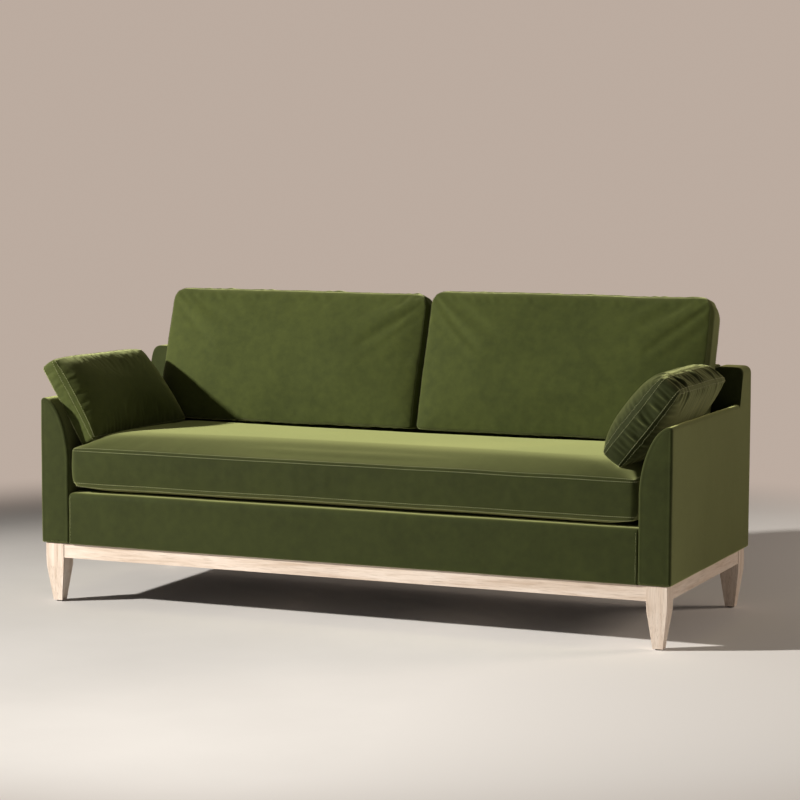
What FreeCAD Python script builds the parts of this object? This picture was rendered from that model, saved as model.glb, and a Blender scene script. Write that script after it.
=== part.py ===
"""Two-cushion sofa with a bench seat, sloped arms and an exposed oak base on four tapered legs.

Millimetres. X runs along the sofa, Y from the front to the back, Z up. The origin is on the floor, under the
middle of the bounding box. "left" is the -X side. Sizes live in the sheet "dims"; depths named in the helpers
are measured backwards from the front face of the arms.
"""
import FreeCAD, Part
import math
import os
import re
import Sketcher

V = FreeCAD.Vector
OUT = "parts"

SIZES = {
    # whole sofa
    "overall_width": 2130, "overall_depth": 870, "arm_width": 103, "arm_height": 668, "back_height": 785,
    "body_bottom": 195, "sheet_gap": 1,
    # oak base
    "leg_size": 64, "leg_foot": 31, "leg_shoulder": 62, "shoulder_drop": 30, "glide_height": 4,
    "glide_radius": 11, "pin_radius": 1.5, "pin_length": 14, "pin_play": 0.05,
    "base_rail_height": 46, "base_rail_thick": 24, "rail_recess": 2, "inset_side": 13, "inset_front": 9,
    "inset_rear": 13, "tenon_length": 20, "tenon_thick": 12, "tenon_height": 34, "tenon_setback": 8,
    "joint_play": 0.2, "brace_reach": 78, "brace_width": 45, "brace_height": 36,
    "cross_width": 60, "cross_offset": 320, "cross_bolt_front": 150, "cross_bolt_rear": 550,
    "bolt_radius": 4, "bolt_play": 0.3, "bolt_reach": 36, "head_flats": 13, "head_height": 5.4,
    "washer_radius": 10, "washer_thick": 1.6, "thread_play": 0.05,
    # hardwood seat frame
    "board_thick": 25, "border_foam": 32, "seat_frame_top": 345, "side_rail_inner": 1010, "rear_cover": 15,
    "stretcher_top": 255, "spring_rail_front": 645, "corner_block": 100, "corner_height": 40,
    # seat suspension
    "wire_radius": 1.8, "spring_turns": 25, "spring_straight": 12, "spring_count": 11, "spring_pitch": 170,
    "wire_lift": 2, "clip_length": 22, "clip_depth": 16, "clip_height": 5.5, "clip_bore": 2.1,
    "tie_radius": 1.4, "tie_drop": 2.5, "tie_front": 250, "tie_rear": 450,
    "deck_bottom": 351, "deck_top": 363, "deck_rear": 632, "border_lip": 62, "border_round": 14,
    # arms and back
    "cover_thick": 12, "cover_play": 0.5, "arm_gap": 1, "board_front": 12, "board_ply": 20,
    "arm_curve_start": 460, "arm_sweep_rise": 100, "arm_sweep_reach": 42, "arm_sweep_drop": 5,
    "arm_round": 10,
    "arm_rail_inner": 1022, "arm_rail_outer": 1050, "arm_rail_bottom": 590, "arm_rail_top": 625,
    "arm_post_depth": 40, "post_inner": 1001, "post_front": 786, "post_depth": 60, "post_top": 725,
    "top_rail_depth": 40, "top_rail_top": 768, "centre_post_half": 25,
    "recline": 18, "back_plane_depth": 735, "back_plane_height": 665, "wing_bottom": 600,
    "web_count": 8, "web_width": 50, "web_thick": 2, "web_pitch": 230, "web_tuck": 3, "web_clear": 0.1,
    # loose cushions
    "fabric_thick": 3, "fill_play": 0.6,
    "seat_half_width": 955, "seat_bottom": 364, "seat_seam": 506, "seat_crown": 556, "seat_front": 3,
    "seat_rear": 629, "seat_chamfer": 18, "back_gap": 4, "back_seat_gap": 1.5, "back_clear": 8,
    "back_outer_left": 954, "back_outer_right": 968, "back_top_left": 990, "back_top_right": 1003,
    "back_foot": 94, "back_shoulder": 42, "back_brow": 76, "back_brim": 40,
    "pillow_front": 50, "pillow_height": 304, "pillow_inner": 56, "bed_gap": 2,
    # each arm pillow's lower outer seam, how far it leans from upright and how far its rear end turns
    # inwards (degrees), its rear end, its border and how full its outer face is: the left one lies flat
    # against the arm, the right one hangs over the arm's top
    "pillow_foot_left": 931, "pillow_foot_height_left": 513, "pillow_tilt_left": 31, "pillow_turn_left": 4,
    "pillow_rear_left": 586, "pillow_outer_left": 2, "pillow_border_left": 52,
    "pillow_foot_right": 886, "pillow_foot_height_right": 538, "pillow_tilt_right": 38,
    "pillow_turn_right": 0, "pillow_rear_right": 556, "pillow_outer_right": 24, "pillow_border_right": 61,
    # zips
    "tape_width": 24, "tape_thick": 1, "chain_width": 5, "chain_thick": 2.4, "slider_length": 11,
    "slider_width": 10, "slider_wall": 1.6, "slider_play": 0.3, "slider_stop": 4, "pull_length": 22,
    "pull_width": 6, "pull_thick": 1.2, "pull_setback": 2, "zip_margin": 60, "pillow_zip_margin": 30,
    "back_zip_height": 60,
}

ROUGH = 30.0  # size of a sketch's shapes before its constraints are solved
OVERSHOOT = 1  # how far a cutting shape runs past the face that it opens
SPARE = 10  # how far two shapes run past each other where their common part is kept

doc = FreeCAD.newDocument("sofa")
nodes = []


# ---------------------------------------------------------------- document helpers

def make_sheet():
    """The driving dimensions, one alias to a row."""
    sheet = doc.addObject("Spreadsheet::Sheet", "dims")
    for row, (alias, value) in enumerate(SIZES.items(), start=1):
        sheet.set(f"A{row}", alias)
        sheet.set(f"B{row}", str(value))
        sheet.setAlias(f"B{row}", alias)
    doc.recompute()
    return sheet


dims = make_sheet()
size = {alias: float(dims.get(alias)) for alias in SIZES}


def bound(text):
    """Writes the sheet's name before each alias in an expression."""
    return re.sub(r"[a-z_]+", lambda m: f"dims.{m.group()}" if m.group() in SIZES else m.group(), text)


def depth(text):
    """The Y of a place given by its depth behind the front face."""
    return f"-overall_depth / 2 + {text}"


def place(obj, x="0", y="0", z="0"):
    """Binds an object's position to the sheet."""
    for axis, text in zip("xyz", (x, y, z)):
        obj.setExpression(f"Placement.Base.{axis}", bound(text))
    return obj


def name_node(obj, label):
    """Marks an object as one of the sofa's pieces, written to its own file."""
    obj.Label = label
    nodes.append(obj)
    return obj


def box(low, high):
    """A board between two corners, each three expressions in sofa coordinates (Y as a depth)."""
    obj = doc.addObject("Part::Box", "board")
    for prop, a, b in zip(("Length", "Width", "Height"), low, high):
        obj.setExpression(prop, bound(f"({b}) - ({a})"))
    return place(obj, low[0], depth(low[1]), low[2])


def cylinder(radius, height, x, y, z):
    """An upright cylinder standing at a place (Y as a depth)."""
    obj = doc.addObject("Part::Cylinder", "rod")
    obj.setExpression("Radius", bound(radius))
    obj.setExpression("Height", bound(height))
    return place(obj, x, depth(y), z)


def fuse(objects):
    obj = doc.addObject("Part::MultiFuse", "joined")
    obj.Shapes = objects
    return obj


def cut(base, tools):
    obj = doc.addObject("Part::Cut", "cut")
    obj.Base = base
    obj.Tool = tools[0] if len(tools) == 1 else fuse(tools)
    return obj


def compound(objects):
    obj = doc.addObject("Part::Compound", "group")
    obj.Links = objects
    return obj


def mirrored(source, normal=V(1, 0, 0), base=V(0, 0, 0)):
    obj = doc.addObject("Part::Mirroring", "mirror")
    obj.Source = source
    obj.Normal = normal
    obj.Base = base
    return obj


def both_sides(build, label):
    """The right-hand piece and its mirror image."""
    right = name_node(build(), f"{label}_right")
    name_node(mirrored(right), f"{label}_left")


def feature(shape):
    """An object that holds a shape made with Part's own functions from the sheet's values."""
    obj = doc.addObject("Part::Feature", "shape")
    obj.Shape = shape
    return obj


def plane_of(body, role):
    return next(f for f in body.Origin.OriginFeatures if f.Role == role)


def sketch_on(body, role, height="0"):
    """An empty sketch on one of a body's own planes, lifted by an expression."""
    sketch = body.newObject("Sketcher::SketchObject", "sketch")
    sketch.AttachmentSupport = (plane_of(body, role), "")
    sketch.MapMode = "FlatFace"
    sketch.setExpression("AttachmentOffset.Base.z", bound(height))
    return sketch


def outline(sketch, points):
    """A closed outline whose corners are each held by two expressions."""
    count = len(points)
    turn = 2 * math.pi / count
    rough = [V(math.cos(turn * k), math.sin(turn * k)) * ROUGH for k in range(count)]
    for k in range(count):
        sketch.addGeometry(Part.LineSegment(rough[k], rough[(k + 1) % count]))
    for k in range(count):
        sketch.addConstraint(Sketcher.Constraint("Coincident", k, 2, (k + 1) % count, 1))
    for k, corner in enumerate(points):
        for kind, text in zip(("DistanceX", "DistanceY"), corner):
            at = sketch.addConstraint(Sketcher.Constraint(kind, -1, 1, k, 1, 1.0))
            sketch.setExpression(f"Constraints[{at}]", bound(text))
    return sketch


def rectangle(sketch, x0, y0, x1, y1):
    return outline(sketch, [(x0, y0), (x1, y0), (x1, y1), (x0, y1)])


def disc(sketch, radius, x="0", y="0"):
    """A circle whose centre and radius are each held by an expression."""
    sketch.addGeometry(Part.Circle(V(ROUGH, ROUGH), V(0, 0, 1), ROUGH / 10))
    for kind, text in (("DistanceX", x), ("DistanceY", y)):
        at = sketch.addConstraint(Sketcher.Constraint(kind, -1, 1, 0, 3, ROUGH))
        sketch.setExpression(f"Constraints[{at}]", bound(text))
    at = sketch.addConstraint(Sketcher.Constraint("Radius", 0, ROUGH / 10))
    sketch.setExpression(f"Constraints[{at}]", bound(radius))
    return sketch


def pad(body, sketch, length):
    obj = body.newObject("PartDesign::Pad", "pad")
    obj.Profile = sketch
    obj.setExpression("Length", bound(length))
    return obj


def pocket(body, sketch, length, reverse):
    obj = body.newObject("PartDesign::Pocket", "pocket")
    obj.Profile = sketch
    obj.setExpression("Length", bound(length))
    obj.Reversed = reverse
    return obj


# ---------------------------------------------------------------- oak base

BASE_TOP = "(body_bottom - sheet_gap)"
RAIL_BOTTOM = f"({BASE_TOP} - base_rail_height)"
LEG_X = "(overall_width / 2 - inset_side)"
LEG_REAR = "(overall_depth - inset_rear)"


def make_leg(label, corner_x, corner_depth, turns):
    """A leg: square block at rail height, then a shouldered taper, with two mortises and a glide-pin hole.

    It is drawn with its outer corner at the body's origin and the block towards +X and +Y."""
    body = doc.addObject("PartDesign::Body", "leg")
    block = rectangle(sketch_on(body, "XY_Plane", RAIL_BOTTOM), "0", "0", "leg_size", "leg_size")
    pad(body, block, "base_rail_height")
    top = rectangle(sketch_on(body, "XY_Plane", RAIL_BOTTOM), "0", "0", "leg_size", "leg_size")
    low, high = "(leg_size - leg_shoulder) / 2", "(leg_size + leg_shoulder) / 2"
    shoulder = rectangle(sketch_on(body, "XY_Plane", f"{RAIL_BOTTOM} - shoulder_drop"), low, low, high, high)
    low, high = "(leg_size - leg_foot) / 2", "(leg_size + leg_foot) / 2"
    foot = rectangle(sketch_on(body, "XY_Plane", "glide_height"), low, low, high, high)
    taper = body.newObject("PartDesign::AdditiveLoft", "taper")
    taper.Profile = top
    taper.Sections = [shoulder, foot]
    taper.Ruled = True
    near, far = "tenon_setback - joint_play", "tenon_setback + tenon_thick + joint_play"
    floor = f"{RAIL_BOTTOM} + (base_rail_height - tenon_height) / 2 - joint_play"
    roof = f"{BASE_TOP} - (base_rail_height - tenon_height) / 2 + joint_play"
    inner = "leg_size - tenon_length - joint_play"
    for x0, y0, x1, y1 in ((inner, near, "leg_size", far), (near, inner, far, "leg_size")):
        mortise = rectangle(sketch_on(body, "XY_Plane", floor), x0, y0, x1, y1)
        pocket(body, mortise, f"({roof}) - ({floor})", True)
    hole = disc(sketch_on(body, "XY_Plane", "glide_height"), "pin_radius + pin_play",
                "leg_size / 2", "leg_size / 2")
    pocket(body, hole, "pin_length + joint_play", True)
    body.Placement.Rotation = FreeCAD.Rotation(V(0, 0, 1), 90 * turns)
    place(body, corner_x, depth(corner_depth))
    return name_node(body, label)


def make_legs():
    make_leg("leg_front_left", f"-{LEG_X}", "inset_front", 0)
    make_leg("leg_front_right", LEG_X, "inset_front", 1)
    make_leg("leg_rear_right", LEG_X, LEG_REAR, 2)
    make_leg("leg_rear_left", f"-{LEG_X}", LEG_REAR, 3)


def tenoned_rail(low, high, tenon_low, tenon_high):
    """A base rail fused with the bare-faced tenons that run out of both its ends."""
    return fuse([box(low, high), box(tenon_low, tenon_high)])


def make_base_rails():
    span = f"({LEG_X} - leg_size)"
    reach = f"({span} + tenon_length)"
    tenon_floor = f"{RAIL_BOTTOM} + (base_rail_height - tenon_height) / 2"
    tenon_roof = f"{BASE_TOP} - (base_rail_height - tenon_height) / 2"
    front = ("inset_front + rail_recess", "inset_front + tenon_setback")
    rear = (f"{LEG_REAR} - rail_recess - base_rail_thick", f"{LEG_REAR} - tenon_setback - tenon_thick")
    for label, (face, tenon) in (("base_rail_front", front), ("base_rail_rear", rear)):
        rail = tenoned_rail((f"-{span}", face, RAIL_BOTTOM), (span, f"{face} + base_rail_thick", BASE_TOP),
                            (f"-{reach}", tenon, tenon_floor), (reach, f"{tenon} + tenon_thick", tenon_roof))
        name_node(rail, label)

    def side():
        start, stop = "inset_front + leg_size", f"{LEG_REAR} - leg_size"
        face, tenon = f"{LEG_X} - rail_recess", f"{LEG_X} - tenon_setback"
        return tenoned_rail(
            (f"{face} - base_rail_thick", start, RAIL_BOTTOM), (face, stop, BASE_TOP),
            (f"{tenon} - tenon_thick", f"{start} - tenon_length", tenon_floor),
            (tenon, f"{stop} + tenon_length", tenon_roof))

    both_sides(side, "base_rail")


BRACE_FLOOR = f"({BASE_TOP} - brace_height)"
# inner faces of the base: the corner that the braces bridge
INNER_X = f"({LEG_X} - rail_recess - base_rail_thick)"
INNER_FRONT = "(inset_front + rail_recess + base_rail_thick)"
INNER_REAR = f"({LEG_REAR} - rail_recess - base_rail_thick)"
# the bolt stands in the middle of the brace's band, where it leaves the leg's inner corner clear
BOLT_IN = "(brace_reach + brace_width / 2) / 2"


def front_brace():
    """A mitred brace across the front right corner of the base, with its bolt hole."""
    body = doc.addObject("PartDesign::Body", "brace")
    wide = "brace_reach + brace_width"
    corners = [("0", "brace_reach"), ("0", wide), (f"-({wide})", "0"), ("-brace_reach", "0")]
    pad(body, outline(sketch_on(body, "XY_Plane"), corners), "brace_height")
    place(body, INNER_X, depth(INNER_FRONT), BRACE_FLOOR)
    hole = cylinder("bolt_radius + bolt_play", "brace_height", f"{INNER_X} - {BOLT_IN}",
                    f"{INNER_FRONT} + {BOLT_IN}", BRACE_FLOOR)
    return cut(body, [hole])


def four_corners(piece):
    """The piece and its copies in the other three corners of the base."""
    middle = V(0, (size["inset_front"] - size["inset_rear"]) / 2, 0)
    rear = mirrored(piece, V(0, 1, 0), middle)
    return [piece, rear, mirrored(piece), mirrored(rear)]


def cross_rail():
    """A flat rail under the seat frame that runs from the front to the rear base rail."""
    rail = box(("cross_offset - cross_width / 2", INNER_FRONT, BRACE_FLOOR),
               ("cross_offset + cross_width / 2", INNER_REAR, BASE_TOP))
    holes = [cylinder("bolt_radius + bolt_play", "brace_height", "cross_offset", y, BRACE_FLOOR)
             for y in ("cross_bolt_front", "cross_bolt_rear")]
    return cut(rail, holes)


def bolt_places():
    """Where the eight base bolts stand: (x, depth) expressions."""
    x, near = f"{INNER_X} - {BOLT_IN}", f"{INNER_FRONT} + {BOLT_IN}"
    far = f"{INNER_REAR} - {BOLT_IN}"
    right = [(x, near), (x, far), ("cross_offset", "cross_bolt_front"), ("cross_offset", "cross_bolt_rear")]
    return right + [(f"-({a})", b) for a, b in right]


def make_bolt(x, y):
    """A hex bolt, head down, from under the base up into the seat frame."""
    body = doc.addObject("PartDesign::Body", "bolt")
    across = "head_flats / 2 / cos(30 deg)"
    corners = [(f"{across} * cos({60 * k} deg)", f"{across} * sin({60 * k} deg)") for k in range(6)]
    pad(body, outline(sketch_on(body, "XY_Plane"), corners), "head_height")
    shank = disc(sketch_on(body, "XY_Plane", "head_height"), "bolt_radius")
    pad(body, shank, "washer_thick + brace_height + sheet_gap + bolt_reach")
    return place(body, x, depth(y), f"{BRACE_FLOOR} - washer_thick - head_height")


def make_washer(x, y):
    floor = f"{BRACE_FLOOR} - washer_thick"
    return cut(cylinder("washer_radius", "washer_thick", x, y, floor),
               [cylinder("bolt_radius + bolt_play", "washer_thick", x, y, floor)])


def make_glide(x, y):
    """A nail-on nylon glide: a flat button with its pin."""
    return fuse([cylinder("glide_radius", "glide_height", x, y, "0"),
                 cylinder("pin_radius", "glide_height + pin_length", x, y, "0")])


def make_base_fittings():
    name_node(compound(four_corners(front_brace())), "base_corner_braces")
    rail = cross_rail()
    name_node(compound([rail, mirrored(rail)]), "base_cross_rails")
    name_node(compound([make_bolt(*at) for at in bolt_places()]), "base_bolts")
    name_node(compound([make_washer(*at) for at in bolt_places()]), "base_bolt_washers")
    name_node(compound([make_glide(f"{sign}({LEG_X} - leg_size / 2)", y) for sign in ("", "-")
                        for y in ("inset_front + leg_size / 2", f"{LEG_REAR} - leg_size / 2")]), "leg_glides")


# ---------------------------------------------------------------- seat frame and suspension

RAIL_FRONT = "border_foam"
RAIL_INNER = "(border_foam + board_thick)"
REAR_BACK = "(overall_depth - rear_cover)"
REAR_INNER = f"({REAR_BACK} - board_thick)"
SIDE_OUTER = "(side_rail_inner + board_thick)"


def bolt_hole(x, y, top):
    """A threaded hole for a base bolt, up from the frame's underside."""
    return cylinder("bolt_radius + thread_play", top, x, y, "body_bottom")


def make_seat_frame():
    name_node(box((f"-{SIDE_OUTER}", RAIL_FRONT, "body_bottom"), (SIDE_OUTER, RAIL_INNER, "seat_frame_top")),
              "seat_rail_front")
    name_node(box((f"-{SIDE_OUTER}", REAR_INNER, "body_bottom"), (SIDE_OUTER, REAR_BACK, "seat_frame_top")),
              "seat_rail_rear")
    both_sides(lambda: box(("side_rail_inner", RAIL_INNER, "body_bottom"),
                           (SIDE_OUTER, REAR_INNER, "seat_frame_top")), "seat_rail")
    name_node(box(("-side_rail_inner", "spring_rail_front", "stretcher_top"),
                  ("side_rail_inner", "spring_rail_front + board_thick", "seat_frame_top")), "spring_rail")
    stretcher = cut(box(("cross_offset - board_thick / 2", RAIL_INNER, "body_bottom"),
                        ("cross_offset + board_thick / 2", REAR_INNER, "stretcher_top")),
                    [bolt_hole("cross_offset", y, "corner_height")
                     for y in ("cross_bolt_front", "cross_bolt_rear")])
    name_node(compound([stretcher, mirrored(stretcher)]), "seat_stretchers")
    name_node(compound(corner_blocks()), "seat_corner_blocks")


def corner_blocks():
    """Triangular glue blocks in the four corners of the seat frame, over the base bolts."""
    x, near, far = f"{INNER_X} - {BOLT_IN}", f"{INNER_FRONT} + {BOLT_IN}", f"{INNER_REAR} - {BOLT_IN}"
    made = []
    for y, bolt, turn in ((RAIL_INNER, near, "corner_block"), (REAR_INNER, far, "-corner_block")):
        body = doc.addObject("PartDesign::Body", "block")
        corners = [("0", "0"), ("0", turn), ("-corner_block", "0")]
        pad(body, outline(sketch_on(body, "XY_Plane"), corners), "corner_height")
        place(body, "side_rail_inner", depth(y), "body_bottom")
        made.append(cut(body, [bolt_hole(x, bolt, "corner_height")]))
    return made + [mirrored(block) for block in made]


def spring_ends():
    """Depths of a spring's first and last run, on the middles of the two rails that carry it."""
    first = size["border_foam"] + size["board_thick"] / 2
    last = size["spring_rail_front"] + size["board_thick"] / 2
    return first, last


def sinuous_spring(x):
    """One zigzag spring: straight runs along X joined by half circles, swept with a round wire."""
    first, last = spring_ends()
    turns = int(size["spring_turns"])
    radius = (last - first) / turns / 2
    half = size["spring_straight"]
    z = size["seat_frame_top"] + size["wire_lift"]
    edges = []
    for k in range(turns + 1):
        y = first + 2 * radius * k - size["overall_depth"] / 2
        side = 1 if k % 2 == 0 else -1
        start, end = V(x - side * half, y, z), V(x + side * half, y, z)
        edges.append(Part.LineSegment(start, end).toShape())
        if k < turns:
            crest = V(x + side * (half + radius), y + radius, z)
            edges.append(Part.Arc(end, crest, V(end.x, y + 2 * radius, z)).toShape())
    path = Part.Wire(edges)
    start = edges[0].Vertexes[0].Point
    wire = Part.Wire(Part.makeCircle(size["wire_radius"], start, V(1, 0, 0)))
    return path.makePipeShell([wire], True, False)


def spring_columns():
    count = int(size["spring_count"])
    return [size["spring_pitch"] * (k - (count - 1) / 2) for k in range(count)]


def make_clip(x, y):
    """A steel clip on a rail that holds the last run of a spring in a round channel."""
    block = doc.addObject("Part::Box", "clip")
    for prop, alias in (("Length", "clip_length"), ("Width", "clip_depth"), ("Height", "clip_height")):
        block.setExpression(prop, bound(alias))
    place(block, f"{x} - clip_length / 2", depth(f"{y} - clip_depth / 2"), "seat_frame_top")
    bore = doc.addObject("Part::Cylinder", "bore")
    bore.setExpression("Radius", bound("clip_bore"))
    bore.setExpression("Height", bound("clip_length"))
    bore.Placement.Rotation = FreeCAD.Rotation(V(0, 1, 0), 90)
    place(bore, f"{x} - clip_length / 2", depth(y), "seat_frame_top + wire_lift")
    return cut(block, [bore])


def make_tie(y):
    """A straight tie wire under the springs, from one side rail to the other."""
    obj = doc.addObject("Part::Cylinder", "tie")
    obj.setExpression("Radius", bound("tie_radius"))
    obj.setExpression("Height", bound("2 * side_rail_inner"))
    obj.Placement.Rotation = FreeCAD.Rotation(V(0, 1, 0), 90)
    return place(obj, "-side_rail_inner", depth(y), "seat_frame_top - tie_drop")


def make_suspension():
    name_node(feature(Part.makeCompound([sinuous_spring(x) for x in spring_columns()])), "seat_springs")
    ends = ("border_foam + board_thick / 2", "spring_rail_front + board_thick / 2")
    name_node(compound([make_clip(str(x), y) for x in spring_columns() for y in ends]), "spring_clips")
    name_node(compound([make_tie("tie_front"), make_tie("tie_rear")]), "spring_tie_wires")
    inner = "(overall_width / 2 - arm_width - arm_gap)"
    name_node(box((f"-{inner}", "border_lip", "deck_bottom"), (inner, "deck_rear", "deck_top")), "deck_pad")


def make_front_border():
    """Upholstered border in front of the seat rail, rolled back over its top."""
    body = doc.addObject("PartDesign::Body", "border")
    sketch = sketch_on(body, "YZ_Plane", "-(overall_width / 2 - arm_width - arm_gap)")
    corners = [("0", "body_bottom"), ("border_foam", "body_bottom"), ("border_foam", "deck_bottom"),
               ("border_lip", "deck_bottom"), ("border_lip", "deck_top"), ("0", "deck_top")]
    border = pad(body, outline(sketch, corners), "overall_width - 2 * (arm_width + arm_gap)")
    doc.recompute()
    top_front = [f"Edge{k}" for k, e in enumerate(border.Shape.Edges, start=1)
                 if all(abs(v.Y) < 1e-6 and abs(v.Z - size["deck_top"]) < 1e-6 for v in e.Vertexes)]
    rolled = body.newObject("PartDesign::Fillet", "roll")
    rolled.Base = (border, top_front)
    rolled.setExpression("Radius", bound("border_round"))
    place(body, "0", depth("0"))
    name_node(body, "front_border")


def make_dust_cover():
    """Black cambric sheet between the base and the seat frame, pierced by the bolts."""
    edge = f"{SIDE_OUTER} + cover_thick - sheet_gap"
    sheet = box((f"-({edge})", "board_front", BASE_TOP), (edge, "overall_depth - board_front", "body_bottom"))
    holes = [cylinder("bolt_radius + bolt_play", "sheet_gap", x, y, BASE_TOP) for x, y in bolt_places()]
    name_node(cut(sheet, holes), "dust_cover")


# ---------------------------------------------------------------- arms and back

def back_plane(z):
    """Depth of the inside back's front face at a height."""
    lean = math.tan(math.radians(size["recline"]))
    return size["back_plane_depth"] + (z - size["back_plane_height"]) * lean


def at_depth(x, y, z):
    return V(x, y - size["overall_depth"] / 2, z)


def prism(points, along):
    """A solid from a closed list of points or edges, extruded along a vector."""
    if isinstance(points[0], V):
        points = [Part.makePolygon(points + points[:1])]
    return Part.Face(Part.Wire(Part.__sortEdges__([e for w in points for e in w.Edges]))).extrude(along)


def arm_section(inset, bottom, open_to, y):
    """The arm's front outline at a depth: straight outer side, round top, inner side that sweeps outwards.

    inset shrinks it on every side but the bottom; below open_to it runs past the inner side, so that a cavity
    cut with it is open towards the seat frame."""
    outer = size["overall_width"] / 2 - inset
    inner = size["overall_width"] / 2 - size["arm_width"] + inset
    top = size["arm_height"] - inset
    start, radius = size["arm_curve_start"], size["arm_round"]
    shoulder = outer - radius
    curve = Part.BezierCurve()
    curve.setPoles([at_depth(inner, y, start), at_depth(inner, y, start + size["arm_sweep_rise"]),
                    at_depth(inner + size["arm_sweep_reach"], y, top - size["arm_sweep_drop"]),
                    at_depth(shoulder, y, top)])
    tip = radius * (1 - math.sqrt(0.5))
    corner = Part.Arc(at_depth(shoulder, y, top), at_depth(outer - tip, y, top - tip),
                      at_depth(outer, y, top - radius))
    lines = [at_depth(outer, y, top - radius), at_depth(outer, y, bottom)]
    if open_to:
        side = size["overall_width"] / 2 - size["arm_width"] - OVERSHOOT
        lines += [at_depth(side, y, bottom), at_depth(side, y, open_to), at_depth(inner, y, open_to)]
    else:
        lines += [at_depth(inner, y, bottom)]
    lines += [at_depth(inner, y, start)]
    return [curve.toShape(), corner.toShape(), Part.makePolygon(lines)]


def wing_section(inset, bottom, x):
    """Side outline of the back above the arm: reclined front, flat top, upright rear."""
    slope = inset / math.cos(math.radians(size["recline"]))
    top = size["back_height"] - inset
    rear = size["overall_depth"] - inset
    return [at_depth(x, back_plane(bottom) + slope, bottom), at_depth(x, back_plane(top) + slope, top),
            at_depth(x, rear, top), at_depth(x, rear, bottom)]


def make_arm_cover():
    """The arm's foam and fabric, front to back, with the wing that rises to the height of the back."""
    wall, width, length = size["cover_thick"], size["arm_width"], size["overall_depth"]
    inner_x = size["overall_width"] / 2 - width
    arm = prism(arm_section(0, size["body_bottom"], 0, 0), V(0, length, 0))
    wing = prism(wing_section(0, size["wing_bottom"], inner_x), V(width, 0, 0))
    below, open_to = size["body_bottom"] - OVERSHOOT, size["deck_bottom"] - OVERSHOOT
    hollow = prism(arm_section(wall, below, open_to, wall), V(0, length - 2 * wall, 0))
    wing_hollow = prism(wing_section(wall, size["wing_bottom"] - 2 * wall, inner_x - OVERSHOOT),
                        V(width - wall + OVERSHOOT, 0, 0))
    shell = arm.fuse(wing).removeSplitter().cut(hollow.fuse(wing_hollow))
    return feature(shell)


def make_arm_board():
    """Shaped plywood facing at the front of the arm."""
    inset = size["cover_thick"] + size["cover_play"]
    section = arm_section(inset, size["body_bottom"], 0, size["board_front"] + size["cover_play"])
    return feature(prism(section, V(0, size["board_ply"] - size["cover_play"], 0)))


def make_arms():
    both_sides(make_arm_cover, "arm_cover")
    both_sides(make_arm_board, "arm_front_board")
    both_sides(lambda: box(("arm_rail_inner", RAIL_FRONT, "arm_rail_bottom"),
                           ("arm_rail_outer", "post_front", "arm_rail_top")), "arm_top_rail")
    both_sides(lambda: box(("side_rail_inner", RAIL_INNER, "seat_frame_top"),
                           (SIDE_OUTER, f"{RAIL_INNER} + arm_post_depth", "arm_rail_bottom")),
               "arm_front_post")


def make_back_cover():
    """Inside back, top and outside back of the upholstery, in one folded wall between the arms."""
    wall = size["cover_thick"]
    slope = wall / math.cos(math.radians(size["recline"]))
    half = size["overall_width"] / 2 - size["arm_width"] - size["cover_play"]
    top, low, rear = size["back_height"], size["deck_bottom"], size["overall_depth"]
    section = [(back_plane(low), low), (back_plane(top), top), (rear, top), (rear, size["body_bottom"]),
               (rear - wall, size["body_bottom"]), (rear - wall, top - wall),
               (back_plane(top - wall) + slope, top - wall), (back_plane(low) + slope, low)]
    name_node(feature(prism([at_depth(-half, y, z) for y, z in section], V(2 * half, 0, 0))), "back_cover")


def back_webbing():
    """Elastic straps from the spring rail up to the top rail, behind the inside back."""
    thick, low, high = size["web_thick"], size["seat_frame_top"], size["top_rail_top"] - size["web_tuck"]
    foot = size["spring_rail_front"] + size["board_thick"] - 2 * thick
    head = size["post_front"] - size["web_clear"]
    count = int(size["web_count"])
    straps = []
    for k in range(count):
        x = size["web_pitch"] * (k - (count - 1) / 2) - size["web_width"] / 2
        section = [at_depth(x, foot, low), at_depth(x, foot + thick, low),
                   at_depth(x, head, high), at_depth(x, head - thick, high)]
        straps.append(prism(section, V(size["web_width"], 0, 0)))
    return Part.makeCompound(straps)


def make_back():
    make_back_cover()
    both_sides(lambda: box(("post_inner", "post_front", "seat_frame_top"),
                           (SIDE_OUTER, "post_front + post_depth", "post_top")), "back_post")
    name_node(box(("-centre_post_half", "post_front", "seat_frame_top"),
                  ("centre_post_half", "post_front + post_depth", "post_top")), "back_centre_post")
    name_node(box((f"-{SIDE_OUTER}", "post_front", "post_top"),
                  (SIDE_OUTER, "post_front + top_rail_depth", "top_rail_top")), "back_top_rail")
    name_node(feature(back_webbing()), "back_webbing")


# ---------------------------------------------------------------- loose cushions

def spline(points):
    curve = Part.BSplineCurve()
    curve.interpolate(points)
    return curve.toShape()


# the seat cushion's crown, as (place along it from -1 to 1, share of its rise)
CROWN_ACROSS = [(-1, 0), (-0.93, 0.62), (-0.78, 0.95), (0, 1.2), (0.78, 0.95), (0.93, 0.62), (1, 0)]
CROWN_LENGTHWISE = [(-1, 0), (-0.88, 0.66), (-0.62, 0.93), (0, 1), (0.6, 1), (0.86, 0.93), (1, 0.5)]
# a back cushion's front face, as (share of the foot's depth in front of the rear, share of its height)
BACK_FRONT = [(-1, 0), (-0.89, 0.22), (-0.51, 0.52), (0.02, 0.82)]


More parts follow.
